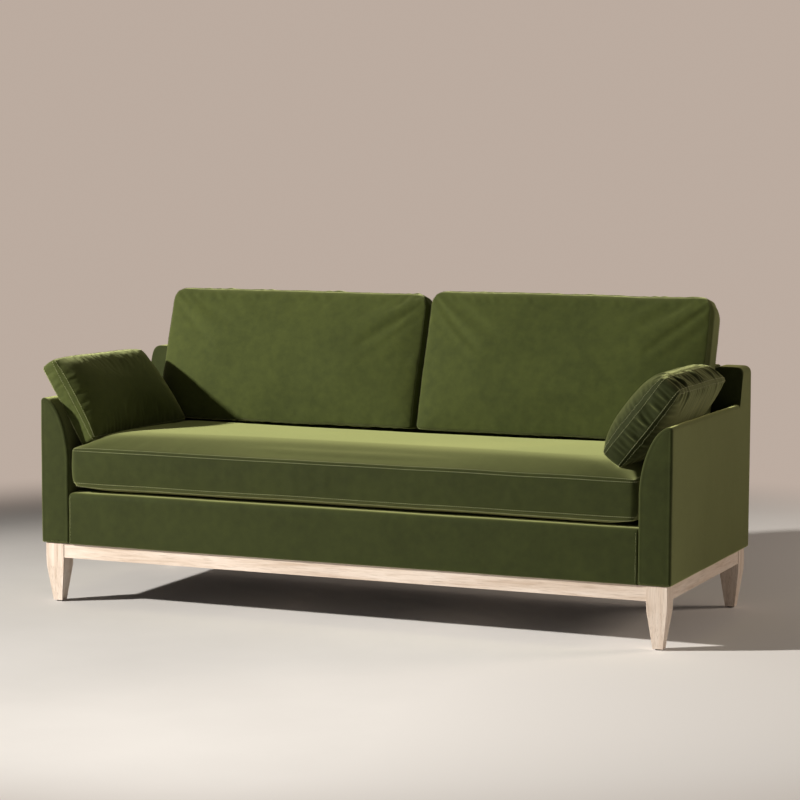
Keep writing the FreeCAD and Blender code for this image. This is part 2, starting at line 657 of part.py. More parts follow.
def seat_solid(inset):
    """The bench seat cushion, shrunk by inset on every side: what two crowned outlines have in common.

    The arm pillows press a hollow into each end of its crown."""
    half, low = size["seat_half_width"] - inset, size["seat_bottom"] + inset
    seam, crown = size["seat_seam"] - inset / 2, size["seat_crown"] - inset
    front, rear = size["seat_front"] + inset, size["seat_rear"] - inset
    rise, chamfer = crown - seam, size["seat_chamfer"]
    top = spline([at_depth(half * a, front - SPARE, seam + rise * b) for a, b in CROWN_ACROSS])
    ends = Part.makePolygon([at_depth(x, front - SPARE, z) for x, z in (
        (half, seam), (half, low + chamfer), (half - chamfer, low), (chamfer - half, low),
        (-half, low + chamfer), (-half, seam))])
    across = prism([top, ends], V(0, rear - front + 2 * SPARE, 0))
    middle, reach = (front + rear) / 2, (rear - front) / 2
    side_top = spline([at_depth(-half - SPARE, middle + reach * a, seam + rise * b)
                       for a, b in CROWN_LENGTHWISE])
    end_rise = CROWN_LENGTHWISE[-1][1] * rise
    side_low = Part.makePolygon([at_depth(-half - SPARE, y, z) for y, z in (
        (rear, seam + end_rise), (rear, low - SPARE), (front + chamfer + SPARE, low - SPARE),
        (front, low + chamfer), (front, seam))])
    body = across.common(prism([side_top, side_low], V(2 * (half + SPARE), 0, 0)))
    for side in ("left", "right"):
        body = body.cut(pillow_solid(side, -size["bed_gap"] - inset))
    return body.Solids[0]


def soft_corner(x, start, corner, end):
    """A curve that rounds a corner, from points given as (depth, height)."""
    curve = Part.BezierCurve()
    curve.setPoles([at_depth(x, *start), at_depth(x, *corner), at_depth(x, *end)])
    return curve.toShape()


def back_solid(side, inset):
    """A back cushion: flat foot on the seat, crowned reclined front, rounded top."""
    x0, x1 = size["back_gap"] + inset, size[f"back_outer_{side}"] - inset
    low, top = size["seat_crown"] + size["back_seat_gap"] + inset, size[f"back_top_{side}"] - inset
    lean = math.tan(math.radians(size["recline"]))
    rear = back_plane(low) - size["back_clear"] - inset
    brim = top - size["back_brim"]
    foot = size["back_foot"]
    shoulder = (rear + size["back_shoulder"] + inset, brim)
    front = [(rear + foot * y + inset, low + (brim - low) * z) for y, z in BACK_FRONT] + [shoulder]
    face = spline([at_depth(x0, y, z) for y, z in front])
    brow = (rear + size["back_brow"], top)
    nape = (rear + (brim - low) * lean, brim)
    over = soft_corner(x0, shoulder, (shoulder[0], top), brow)
    behind = soft_corner(x0, brow, (nape[0], top), nape)
    rest = Part.makePolygon([at_depth(x0, *nape), at_depth(x0, rear, low), at_depth(x0, *front[0])])
    solid = prism([face, over, behind, rest], V(x1 - x0, 0, 0))
    return solid if side == "right" else solid.mirror(V(0, 0, 0), V(1, 0, 0))


def pillow_point(side, across, up):
    """A point of a pillow's section, from its own axes (inwards from the outer seam, up the border)."""
    tilt = math.radians(size[f"pillow_tilt_{side}"])
    x = size[f"pillow_foot_{side}"] + up * math.sin(tilt) - across * math.cos(tilt)
    return x, size[f"pillow_foot_height_{side}"] + up * math.cos(tilt) + across * math.sin(tilt)


def pillow_turn(side):
    """The turn about the upright line through a pillow's front foot, as (centre, axis, degrees)."""
    sign = 1 if side == "right" else -1
    centre = at_depth(sign * size[f"pillow_foot_{side}"], size["pillow_front"], 0)
    return centre, V(0, 0, 1), sign * size[f"pillow_turn_{side}"]


def pillow_solid(side, inset):
    """An arm pillow: boxed, with crowned faces, leaning over the arm."""
    sign = 1 if side == "right" else -1
    tall, border, full = size["pillow_height"], size[f"pillow_border_{side}"], size[f"pillow_outer_{side}"]
    low, high = inset, tall - inset
    front, rear = size["pillow_front"] + inset, size[f"pillow_rear_{side}"] - inset

    def at(across, up):
        x, z = pillow_point(side, across, up)
        return at_depth(sign * x, front, z)

    outer = spline([at(inset, low), at(inset - full, tall / 2), at(inset, high)])
    inner = spline([at(border - inset, high), at(border - inset + size["pillow_inner"], tall / 2),
                    at(border - inset, low)])
    ends = [Part.makePolygon([at(inset, high), at(border - inset, high)]),
            Part.makePolygon([at(border - inset, low), at(inset, low)])]
    return prism([outer, inner] + ends, V(0, rear - front, 0)).rotated(*pillow_turn(side))


def cover_and_fill(solid, name):
    """A sewn cover as a closed skin, and the filling inside it."""
    skin = solid(0).cut(solid(size["fabric_thick"]))
    name_node(feature(skin), f"{name}_cover")
    name_node(feature(solid(size["fabric_thick"] + size["fill_play"])), f"{name}_filling")


def zip_parts(name, length, spot, rotation):
    """A zip laid on a cushion: tape and coil in one piece, and the slider with its pull.

    It is drawn along X on the plane z = 0, facing +Z, with its middle at the origin."""
    half, wide = length / 2, size["tape_width"] / 2
    tape = Part.makeBox(length, 2 * wide, size["tape_thick"], V(-half, -wide, 0))
    coil_wide = size["chain_width"] / 2
    top = size["tape_thick"] + size["chain_thick"]
    coil = Part.makeBox(length, 2 * coil_wide, size["chain_thick"], V(-half, -coil_wide, size["tape_thick"]))
    strip = feature(tape.fuse(coil).removeSplitter())
    play, wall = size["slider_play"], size["slider_wall"]
    body_long, body_wide = size["slider_length"], size["slider_width"]
    start, floor = size["slider_stop"] - half, size["tape_thick"] + play
    roof = top + play + wall
    block = Part.makeBox(body_long, body_wide, roof - floor, V(start, -body_wide / 2, floor))
    channel = Part.makeBox(body_long, 2 * (coil_wide + play), top + play - floor,
                           V(start, -coil_wide - play, floor))
    pull = Part.makeBox(size["pull_length"], size["pull_width"], size["pull_thick"],
                        V(start + size["pull_setback"], -size["pull_width"] / 2, roof))
    slider = feature(block.cut(channel).fuse(pull).removeSplitter())
    for obj, part in ((strip, "zip"), (slider, "zip_slider")):
        obj.Placement = FreeCAD.Placement(spot, rotation)
        name_node(obj, f"{name}_{part}")


def upright_zip(lean):
    """Turns a zip's face to the rear (+Y), for a cushion whose rear face leans back."""
    facing_rear = FreeCAD.Rotation(V(0, 0, 1), 180) * FreeCAD.Rotation(V(1, 0, 0), 90)
    return FreeCAD.Rotation(V(1, 0, 0), lean) * facing_rear


def make_seat_cushion():
    cover_and_fill(seat_solid, "seat_cushion")
    middle = (size["seat_bottom"] + size["seat_seam"]) / 2
    length = 2 * (size["seat_half_width"] - size["zip_margin"])
    zip_parts("seat_cushion", length, at_depth(0, size["seat_rear"], middle), upright_zip(0))


def make_back_cushions():
    height = size["seat_crown"] + size["back_seat_gap"] + size["back_zip_height"]
    depth_there = back_plane(height) - size["back_clear"]
    for side, sign in (("right", 1), ("left", -1)):
        name, outer = f"back_cushion_{side}", size[f"back_outer_{side}"]
        cover_and_fill(lambda inset: back_solid(side, inset), name)
        length = outer - size["back_gap"] - 2 * size["zip_margin"]
        spot = at_depth(sign * (size["back_gap"] + outer) / 2, depth_there, height)
        zip_parts(name, length, spot, upright_zip(-size["recline"]))


def make_pillows():
    """Both arm pillows, with their zips up the middle of the rear border."""
    for side, sign in (("right", 1), ("left", -1)):
        name = f"arm_pillow_{side}"
        cover_and_fill(lambda inset: pillow_solid(side, inset), name)
        x, z = pillow_point(side, size[f"pillow_border_{side}"] / 2, size["pillow_height"] / 2)
        lean = FreeCAD.Rotation(V(0, 1, 0), 90 + sign * size[f"pillow_tilt_{side}"]) * upright_zip(0)
        length = size["pillow_height"] - 2 * size["pillow_zip_margin"]
        centre, axis, degrees = pillow_turn(side)
        turn = FreeCAD.Rotation(axis, degrees)
        spot = centre + turn.multVec(at_depth(sign * x, size[f"pillow_rear_{side}"], z) - centre)
        zip_parts(name, length, spot, turn * lean)


# ---------------------------------------------------------------- build and write

def check_and_write():
    doc.recompute()
    for obj in doc.Objects:
        if "Invalid" in obj.State or "Error" in obj.State:
            raise SystemExit(f"{obj.Label} failed: {obj.State}")
    os.makedirs(OUT, exist_ok=True)
    for obj in nodes:
        if obj.Shape.isNull() or not obj.Shape.isValid() or not obj.Shape.Solids:
            raise SystemExit(f"{obj.Label} has no valid solid")
        obj.Shape.exportStep(os.path.join(OUT, f"{obj.Label}.step"))
    print(f"{len(nodes)} pieces, {sum(len(obj.Shape.Solids) for obj in nodes)} solids")


make_legs()
make_base_rails()
make_base_fittings()
make_seat_frame()
make_suspension()
make_front_border()
make_dust_cover()
make_arms()
make_back()
make_seat_cushion()
make_back_cushions()
make_pillows()
check_and_write()
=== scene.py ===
"""Visual model of a velvet sofa on an oak base: sewn covers, loose cushions, stitching and wood grain.

Metres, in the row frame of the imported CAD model: X along the sofa, Y from front to back, Z up."""
import math

import bpy
from mathutils import Matrix, Vector, noise


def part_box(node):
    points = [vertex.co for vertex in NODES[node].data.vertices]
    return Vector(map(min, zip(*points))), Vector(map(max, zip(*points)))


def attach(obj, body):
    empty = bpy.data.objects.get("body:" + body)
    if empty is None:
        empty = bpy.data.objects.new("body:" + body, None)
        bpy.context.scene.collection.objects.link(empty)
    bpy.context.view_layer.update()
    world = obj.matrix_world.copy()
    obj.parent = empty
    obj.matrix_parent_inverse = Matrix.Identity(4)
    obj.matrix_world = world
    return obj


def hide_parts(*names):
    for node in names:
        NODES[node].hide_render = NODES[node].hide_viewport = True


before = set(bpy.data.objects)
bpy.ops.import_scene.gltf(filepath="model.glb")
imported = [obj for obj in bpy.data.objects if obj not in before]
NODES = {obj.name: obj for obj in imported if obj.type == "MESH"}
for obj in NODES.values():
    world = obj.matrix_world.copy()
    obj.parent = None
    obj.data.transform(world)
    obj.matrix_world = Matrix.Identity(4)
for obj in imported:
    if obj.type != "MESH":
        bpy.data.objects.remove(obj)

noise.seed_set(1)     # vector noise would otherwise start from the clock
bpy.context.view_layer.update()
MM = 0.001

# ------------------------------------------------------------ places taken from the CAD

ARM_LOW, ARM_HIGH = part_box("arm_cover_right")
FRONT, REAR = ARM_LOW.y, ARM_HIGH.y
BODY_BOTTOM, BACK_TOP = ARM_LOW.z, ARM_HIGH.z
ARM_IN, ARM_OUT = ARM_LOW.x, ARM_HIGH.x
ARM_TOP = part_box("arm_front_board_right")[1].z + 12.5 * MM
BORDER_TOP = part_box("front_border")[1].z
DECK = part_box("deck_pad")[0].z
INSIDE_BACK_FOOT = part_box("back_cover")[0].y     # where the inside back meets the deck
RECLINE = math.tan(math.radians(18))


def back_plane(z):
    """Y of the inside back's front face at height z."""
    return INSIDE_BACK_FOOT + (z - DECK) * RECLINE


def smooth(t):
    """Eases from 0 to 1 as t goes from 0 to 1."""
    t = min(max(t, 0.0), 1.0)
    return t * t * (3 - 2 * t)


# ------------------------------------------------------------ materials

def node_material(name):
    """A material with an empty node tree but for its shader, and two short makers for its nodes."""
    mat = bpy.data.materials.new(name)
    mat.use_nodes = True
    tree = mat.node_tree
    shader = tree.nodes["Principled BSDF"]

    def add(kind, inputs=(), **settings):
        node = tree.nodes.new(kind)
        for key, value in settings.items():
            setattr(node, key, value)
        for key, value in dict(inputs).items():
            if isinstance(value, bpy.types.NodeSocket):
                tree.links.new(value, node.inputs[key])
            else:
                node.inputs[key].default_value = value
        return node

    def ramp(source, stops):
        node = tree.nodes.new("ShaderNodeValToRGB")
        elements = node.color_ramp.elements
        for _ in stops[2:]:
            elements.new(0.5)
        for element, (at, colour) in zip(elements, stops):
            element.position = at
            element.color = (*colour, 1)
        tree.links.new(source, node.inputs["Fac"])
        return node.outputs["Color"]

    return mat, tree, shader, add, ramp


def bump(tree, add, shader, layers):
    """Chains bump layers (height socket, distance in metres, strength) into the shader's normal."""
    normal = None
    for height, distance, strength in layers:
        inputs = {"Height": height, "Distance": distance, "Strength": strength}
        if normal is not None:
            inputs["Normal"] = normal
        normal = add("ShaderNodeBump", inputs).outputs["Normal"]
    tree.links.new(normal, shader.inputs["Normal"])


def velvet_material(name, dark, light, sheen_tint):
    """Short-pile velvet: dark into the pile, a bright sheen at grazing angles, nap that shifts in patches."""
    mat, tree, shader, add, ramp = node_material(name)
    place = add("ShaderNodeTexCoord").outputs["Object"]
    patches = add("ShaderNodeTexNoise", {"Vector": place, "Scale": 5.0, "Detail": 5.0, "Roughness": 0.62})
    brushed = add("ShaderNodeTexNoise", {"Vector": place, "Scale": 34.0, "Detail": 4.0, "Roughness": 0.6})
    pile = add("ShaderNodeTexNoise", {"Vector": place, "Scale": 900.0, "Detail": 2.0})
    mixed = add("ShaderNodeMath", {0: patches.outputs["Fac"], 1: brushed.outputs["Fac"]}, operation="ADD")
    with_pile = add("ShaderNodeMath", {0: pile.outputs["Fac"], 1: 0.5, 2: mixed.outputs[0]},
                    operation="MULTIPLY_ADD")
    centred = add("ShaderNodeMath", {0: with_pile.outputs[0], 1: 0.6}, operation="SUBTRACT")
    tree.links.new(ramp(centred.outputs[0], [(0.30, dark), (1.00, light)]), shader.inputs["Base Color"])
    shader.inputs["Roughness"].default_value = 0.8
    shader.inputs["Specular IOR Level"].default_value = 0.12
    shader.inputs["Sheen Weight"].default_value = 1.0
    shader.inputs["Sheen Roughness"].default_value = 0.43
    shader.inputs["Sheen Tint"].default_value = (*sheen_tint, 1)
    bump(tree, add, shader, [(patches.outputs["Fac"], 3 * MM, 0.25), (brushed.outputs["Fac"], 0.8 * MM, 0.3),
                             (pile.outputs["Fac"], 0.25 * MM, 0.5)])
    return mat


def oak_material(name, along):
    """Pale washed oak with its grain along one axis: growth bands, fine pores and cloudy colour."""
    mat, tree, shader, add, ramp = node_material(name)
    place = add("ShaderNodeTexCoord").outputs["Object"]
    squeeze = [26.0, 26.0, 26.0]
    squeeze["XYZ".index(along)] = 1.6
    fine = [420.0, 420.0, 420.0]
    fine["XYZ".index(along)] = 14.0
    band_place = add("ShaderNodeMapping", {"Vector": place, "Scale": squeeze}).outputs[0]
    pore_place = add("ShaderNodeMapping", {"Vector": place, "Scale": fine}).outputs[0]
    bands = add("ShaderNodeTexNoise", {"Vector": band_place, "Scale": 2.2, "Detail": 6.0, "Roughness": 0.62,
                                       "Distortion": 0.6})
    pores = add("ShaderNodeTexNoise", {"Vector": pore_place, "Scale": 1.0, "Detail": 3.0, "Roughness": 0.6})
    clouds = add("ShaderNodeTexNoise", {"Vector": place, "Scale": 4.0, "Detail": 2.0})
    grain = ramp(bands.outputs["Fac"], [(0.30, (0.53, 0.42, 0.33)), (0.47, (0.65, 0.55, 0.465)),
                                        (0.66, (0.73, 0.645, 0.57))])
    pore_tone = ramp(pores.outputs["Fac"], [(0.36, (0.70, 0.67, 0.64)), (0.47, (1, 1, 1))])
    cloud_tone = ramp(clouds.outputs["Fac"], [(0.3, (0.92, 0.91, 0.90)), (0.7, (1.0, 1.0, 1.0))])
    pored = add("ShaderNodeMix", {0: 0.75, 6: grain, 7: pore_tone}, data_type="RGBA", blend_type="MULTIPLY")
    tinted = add("ShaderNodeMix", {0: 1.0, 6: pored.outputs[2], 7: cloud_tone}, data_type="RGBA",
                 blend_type="MULTIPLY")
    tree.links.new(tinted.outputs[2], shader.inputs["Base Color"])
    shader.inputs["Roughness"].default_value = 0.62
    bump(tree, add, shader, [(bands.outputs["Fac"], 0.5 * MM, 0.3), (pores.outputs["Fac"], 0.3 * MM, 0.6)])
    return mat


def plain_material(name, dark, light, roughness, scale, metallic=0.0, depth=0.15):
    """A mottled material with a fine surface, for timber out of sight, felt, cambric, nylon and steel."""
    mat, tree, shader, add, ramp = node_material(name)
    place = add("ShaderNodeTexCoord").outputs["Object"]
    mottle = add("ShaderNodeTexNoise", {"Vector": place, "Scale": scale, "Detail": 5.0, "Roughness": 0.6})
    tree.links.new(ramp(mottle.outputs["Fac"], [(0.3, dark), (0.7, light)]), shader.inputs["Base Color"])
    shader.inputs["Roughness"].default_value = roughness
    shader.inputs["Metallic"].default_value = metallic
    bump(tree, add, shader, [(mottle.outputs["Fac"], depth * MM, 0.4)])
    return mat


# Three copies of the one velvet. VELVET is its own colour. A lighter copy with painted light goes on the back
# cushions and the left pillow, and a darker copy with painted shade goes on the right pillow.
VELVET = velvet_material("velvet", (0.015, 0.020, 0.004), (0.026, 0.034, 0.007), (0.61, 0.66, 0.27))
PAINTED_SHADE_VELVET = velvet_material("painted_shade_velvet", (0.012, 0.016, 0.0035), (0.021, 0.028, 0.006),
                              (0.50, 0.545, 0.235))
PAINTED_LIGHT_VELVET = velvet_material("painted_light_velvet", (0.030, 0.040, 0.008), (0.052, 0.066, 0.013),
                               (0.66, 0.72, 0.33))
THREAD = plain_material("thread", (0.42, 0.44, 0.22), (0.58, 0.60, 0.34), 0.7, 600)
DARK_THREAD = plain_material("dark_thread", (0.06, 0.075, 0.02), (0.10, 0.12, 0.035), 0.7, 600)
OAK = {axis: oak_material(f"oak_{axis.lower()}", axis) for axis in "XYZ"}
TIMBER = plain_material("frame_timber", (0.42, 0.29, 0.17), (0.60, 0.45, 0.29), 0.75, 30)
STEEL = plain_material("zinc_steel", (0.45, 0.45, 0.46), (0.62, 0.62, 0.63), 0.38, 90, metallic=1.0,
                       depth=0.05)
BRASS = plain_material("antique_metal", (0.16, 0.13, 0.08), (0.30, 0.25, 0.16), 0.42, 200, metallic=1.0,
                       depth=0.05)
NYLON = plain_material("dark_nylon", (0.015, 0.013, 0.011), (0.03, 0.026, 0.022), 0.5, 120)
TAPE = plain_material("zip_tape", (0.03, 0.045, 0.012), (0.05, 0.07, 0.02), 0.8, 700)
FELT = plain_material("deck_felt", (0.12, 0.15, 0.05), (0.18, 0.21, 0.08), 0.95, 260, depth=0.5)
CAMBRIC = plain_material("cambric", (0.012, 0.012, 0.012), (0.03, 0.03, 0.03), 0.95, 500, depth=0.2)
WEBBING = plain_material("webbing", (0.05, 0.045, 0.04), (0.12, 0.11, 0.10), 0.9, 400, depth=0.3)


# ------------------------------------------------------------ mesh helpers

def make_object(name, points, faces, material, shade_smooth=True):
    """A mesh object in the scene, with its one material."""
    mesh = bpy.data.meshes.new(name)
    mesh.from_pydata([tuple(p) for p in points], [], faces)
    mesh.validate()
    mesh.update()
    mesh.materials.append(material)
    if shade_smooth:
        mesh.shade_smooth()
    obj = bpy.data.objects.new(name, mesh)
    bpy.context.scene.collection.objects.link(obj)
    return obj


def subdivide(obj):
    mod = obj.modifiers.new("fine", "SUBSURF")
    mod.levels = 1
    mod.render_levels = 1


def mirror_points(points):
    return [Vector((-p.x, p.y, p.z)) for p in points]


def uneven(p, amount, scale, seed):
    """A soft random offset, the same at every run."""
    at = Vector(p) * scale + Vector((seed * 7.3, seed * 1.9, seed * 4.1))
    return noise.noise_vector(at) * amount


def stitch_row(path, pitch, length, thick, lift):
    """Thread along a path of (point, normal): one slim bead for each stitch that shows."""
    points, faces = [], []
    travelled, due = 0.0, 0.5 * pitch
    for (a, na), (b, nb) in zip(path, path[1:]):
        run = (b - a).length
        while run > 0 and due <= travelled + run:
            f = (due - travelled) / run
            centre, normal = a.lerp(b, f), na.lerp(nb, f).normalized()
            along = (b - a).normalized()
            across = along.cross(normal).normalized()
            centre = centre + normal * lift
            base = len(points)
            points += [centre - along * length / 2, centre + across * thick, centre + normal * thick,
                       centre - across * thick, centre - normal * thick, centre + along * length / 2]
            for k in range(4):
                faces += [(base, base + 1 + (k + 1) % 4, base + 1 + k),
                          (base + 5, base + 1 + k, base + 1 + (k + 1) % 4)]
            due += pitch
        travelled += run
    return points, faces


def stitching(name, paths, body, pitch=7.0 * MM, length=5.0 * MM, thick=0.75 * MM, lift=0.45 * MM,
              thread=THREAD):
    """One object with the thread of several seams."""
    points, faces = [], []
    for path in paths:
        more, quads = stitch_row(path, pitch, length, thick, lift)
        faces += [tuple(k + len(points) for k in face) for face in quads]
        points += more
    obj = make_object(name, points, faces, thread)
    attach(obj, body)


# ------------------------------------------------------------ loose cushions

def spaced(length, cell, fine):
    """Fractions along a panel: fine steps beside the seams at both ends, then even cells."""
    edge = [f / length for f in fine]
    middle = 1 - 2 * edge[-1]
    count = max(2, round(middle * length / cell))
    inner = [edge[-1] + middle * k / count for k in range(1, count)]
    return edge + inner + [1 - e for e in reversed(edge)]


FINE = [0, 5.5 * MM, 10 * MM, 16 * MM, 24 * MM]     # the close rows beside a seam
STITCH_AT = 1                                       # which of them carries the thread
SEAM_SUNK = 1.8 * MM
PUCKER_SPREAD = 70 * MM     # no fold reaches further into a panel than this


class Lattice:
    """The skin of a block of na x nb x nc cells as a closed quad mesh, with its points found by index."""

    def __init__(self, a, b, c, place):
        self.a, self.b, self.c = a, b, c
        self.index, self.points, self.faces = {}, [], []
        na, nb, nc = len(a) - 1, len(b) - 1, len(c) - 1
        self.last = (na, nb, nc)
        self.place = place
        for i in range(na):
            for j in range(nb):
                self.quad((i, j, 0), (i, j + 1, 0), (i + 1, j + 1, 0), (i + 1, j, 0))
                self.quad((i, j, nc), (i + 1, j, nc), (i + 1, j + 1, nc), (i, j + 1, nc))
        for i in range(na):
            for k in range(nc):
                self.quad((i, 0, k), (i + 1, 0, k), (i + 1, 0, k + 1), (i, 0, k + 1))
                self.quad((i, nb, k), (i, nb, k + 1), (i + 1, nb, k + 1), (i + 1, nb, k))
        for j in range(nb):
            for k in range(nc):
                self.quad((0, j, k), (0, j, k + 1), (0, j + 1, k + 1), (0, j + 1, k))
                self.quad((na, j, k), (na, j + 1, k), (na, j + 1, k + 1), (na, j, k + 1))

    def quad(self, *corners):
        self.faces.append(tuple(self.at(c) for c in corners))

    def at(self, key):
        if key not in self.index:
            self.index[key] = len(self.points)
            i, j, k = key
            self.points.append(self.place(self.a[i], self.b[j], self.c[k]))
        return self.index[key]

    def loop(self, k, inset=0):
        """Point indices round the block at level k, or on that end panel this many rows in from its edge."""
        na, nb, _ = self.last
        lo_i, hi_i, lo_j, hi_j = inset, na - inset, inset, nb - inset
        ring = [(i, lo_j) for i in range(lo_i, hi_i)] + [(hi_i, j) for j in range(lo_j, hi_j)]
        ring += [(i, hi_j) for i in range(hi_i, lo_i, -1)] + [(lo_i, j) for j in range(hi_j, lo_j, -1)]
        return [self.index[(i, j, k)] for i, j in ring]


def rounded_corner(x, y, width, height, radius):
    """Moves a point of a rectangle so that the rectangle's corners are round."""
    dx, dy = min(x, width - x), min(y, height - y)
    if dx >= radius or dy >= radius:
        return x, y
    p, q = 1 - dx / radius, 1 - dy / radius
    px, qy = p * math.sqrt(1 - q * q / 2), q * math.sqrt(1 - p * p / 2)
    nx, ny = radius * (1 - px), radius * (1 - qy)
    return (nx if x < width / 2 else width - nx), (ny if y < height / 2 else height - ny)


def run_round(a, b, width, height):
    """Distance round a panel's edge from its first corner, for a point on that edge."""
    if b <= 0:
        return a * width
    if a >= 1:
        return width + b * height
    if b >= 1:
        return width + height + (1 - a) * width
    return 2 * width + height + (1 - b) * height


def fold(spec, run, across):
    """Height from -1 to 1 of the small folds along a seam: round ridges with narrow creases between them."""
    seat = noise.noise(Vector((run * spec["folds_per_metre"], across, 7.0 * spec["seed"])))
    strength = 0.7 + noise.noise(Vector((run * 6.0, 3.7, spec["seed"])))
    return (2.6 * abs(seat) - 0.5) * min(max(strength, 0.3), 1.0)


def corner_fade(run, width, height):
    """0 at a panel's corners and 1 a little way from them, where the folds are free."""
    ends = [0.0, width, width + height, 2 * width + height, 2 * (width + height)]
    return smooth(min(abs(run - end) for end in ends) / 0.03)


def block_shape(spec):
    """place(a, b, c) for a boxed cushion in its own axes: a and b across its panels, c through it.

    The two panels are crowned; the boxing between them has a belly and gathers in folds, which pucker the
    edges of the panels too."""
    width, height, thick = spec["size"]

    def place(a, b, c):
        x, y = rounded_corner(a * width, b * height, width, height, spec["corner"][0 if b < 0.5 else 1])
        z = thick * c
        if 0 < c < 1:
            run = run_round(a, b, width, height)
            out = spec["belly"] * math.sin(math.pi * c)
            slant = 0.25 * c + run * 3.0
            folded = spec["fold"] * fold(spec, run, slant) * math.sin(math.pi * c)
            out += folded * corner_fade(run, width, height)
            x += out * (-1 if a <= 0 else 1 if a >= 1 else 0)
            y += out * (-1 if b <= 0 else 1 if b >= 1 else 0)
        else:
            crown, side = (spec["crown"][1], 1) if c >= 1 else (spec["crown"][0], -1)
            z += side * crown * spec["fall"](a, b, side)
            z += side * pucker(spec, a, b, width, height)
        local = Vector((x, y, z))
        return spec["to_world"] @ spec["warp"](local, a, b, c)

    return place


def pucker(spec, a, b, width, height):
    """The folds of a seam, dying out into the panel beside it."""
    gaps = {(0, b): a * width, (1, b): (1 - a) * width, (a, 0): b * height, (a, 1): (1 - b) * height}
    edge = min(gaps, key=gaps.get)
    gap = gaps[edge]
    if gap <= 0 or gap > PUCKER_SPREAD:
        return 0.0
    run = run_round(*edge, width, height)
    rise = min(gap / 0.012, 1.0) * math.exp(-gap / spec["pucker_reach"])
    return spec["pucker"] * fold(spec, run, run * 3.0) * rise * corner_fade(run, width, height)


def pillow_fall(power_a, power_b):
    """A plump crown that rolls over to all four seams."""
    return lambda a, b, side: ((1 - abs(2 * a - 1) ** power_a) * (1 - abs(2 * b - 1) ** power_b)) ** 0.65


def inflate(obj, pins, looseness, spec):
    """Blows up a sewn cover with Cloth: pins hold the seams, looseness is where extra fabric gathers.

    slack is the share of extra fabric where looseness is 0 and where it is 1, the panels and the boxing.
    No point moves further than cap."""
    pressure, slack, cap = spec["pressure"], spec["slack"], spec["cap"]
    start = [v.co.copy() for v in obj.data.vertices]
    for name, weights in (("pins", pins), ("looseness", looseness)):
        group = obj.vertex_groups.new(name=name)
        for index, weight in weights.items():
            group.add([index], weight, "REPLACE")
    cloth = obj.modifiers.new("cloth", "CLOTH")
    fabric = cloth.settings
    fabric.quality = 5
    fabric.mass = 0.25
    fabric.tension_stiffness = 20
    fabric.compression_stiffness = 12
    fabric.shear_stiffness = 6
    fabric.bending_stiffness = 0.35
    fabric.use_pressure = True
    fabric.uniform_pressure_force = pressure
    fabric.vertex_group_mass = "pins"
    fabric.pin_stiffness = 1.0
    fabric.vertex_group_shrink = "looseness"
    fabric.shrink_min = -slack[0]
    fabric.shrink_max = -slack[1]
    fabric.effector_weights.gravity = 0
    cloth.collision_settings.use_collision = False
    cloth.point_cache.frame_start = 1
    cloth.point_cache.frame_end = 20
    scene = bpy.context.scene
    for step in range(1, 21):
        scene.frame_set(step)
    settled = obj.evaluated_get(bpy.context.evaluated_depsgraph_get()).to_mesh()
    moved = [v.co.copy() for v in settled.vertices]
    obj.modifiers.remove(cloth)
    obj.vertex_groups.clear()
    scene.frame_set(1)
    for vertex, a, b in zip(obj.data.vertices, start, moved):
        step = b - a
        if step.length > cap:
            step *= cap / step.length
        vertex.co = a + step


def seam_groove(obj, loops, depth):
    """Sinks the seams into the cover."""
    mesh = obj.data
    mesh.update()
    for loop in loops:
        for index in loop:
            vertex = mesh.vertices[index]
            vertex.co -= vertex.normal * depth


def sewn_path(mesh, loop):
    """A closed loop of vertices as a path for stitch_row."""
    return [(mesh.vertices[k].co.copy(), mesh.vertices[k].normal.copy()) for k in loop + loop[:1]]


def make_cushion(name, spec):
    """A loose cushion: boxed cover blown up by Cloth, sunk seams and thread on each side of them.

    Its form: size (across, up, through) in the axes of to_world; corner, the radius of its lower and upper
    corners; crown, the rise of its rear and front panels, shared out by fall; belly, of the boxing; lumps.
    Its folds: fold on the boxing, pucker on the panels within pucker_reach of a seam, folds_per_metre, seed.
    Its cloth: cell of the mesh, pressure, slack and cap; fill, how full it is stuffed, is not used.
    warp bends it, limit keeps it to its place, and velvet and thread are its materials."""
    width, height, thick = spec["size"]
    cell = spec["cell"]
    across, up, through = (spaced(run, cell, fine) for run, fine in
                           ((width, FINE), (height, FINE), (thick, FINE[:4])))
    block = Lattice(across, up, through, block_shape(spec))
    obj = make_object(name, block.points, block.faces, spec["velvet"])
    top = block.last[2]
    seams = [block.loop(0), block.loop(top)]
    pins = {k: 1.0 for loop in seams for k in loop}
    for level in (0, top):
        for k in block.loop(level, 1):
            pins[k] = 0.35
    boxing = {block.index[key]: 1.0 for key in block.index if 0 < key[2] < top}
    inflate(obj, pins, boxing, spec)
    to_local = spec["to_world"].inverted()
    for vertex in obj.data.vertices:
        vertex.co += uneven(vertex.co, spec["lumps"], 5.0, spec["seed"])
        vertex.co = spec["to_world"] @ spec["limit"](to_local @ vertex.co)
    seam_groove(obj, seams, SEAM_SUNK)
    obj.data.update()
    mesh = obj.data
    threads = []
    for level, inward in ((0, 1), (top, -1)):
        threads.append(sewn_path(mesh, block.loop(level, STITCH_AT)))
        threads.append(sewn_path(mesh, block.loop(level + inward * STITCH_AT)))
    subdivide(obj)
    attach(obj, name)
    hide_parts(f"{name}_cover", f"{name}_filling")
    obj.name = f"{name}_velvet"
    stitching(f"{name}_stitching", threads, name, thread=spec["thread"])


def axes(origin, across, up, out):
    """The matrix that takes a cushion's own axes to the sofa's."""
    columns = [Vector(v).normalized() for v in (across, up, out)]
    rotation = Matrix((columns[0], columns[1], columns[2])).transposed().to_4x4()
    return Matrix.Translation(origin) @ rotation


def eased(value, most, soft):
    """value, bent over so that it comes near most and never passes it."""
    over = value - (most - soft)
    return value if over <= 0 else most - soft * math.exp(-over / soft)


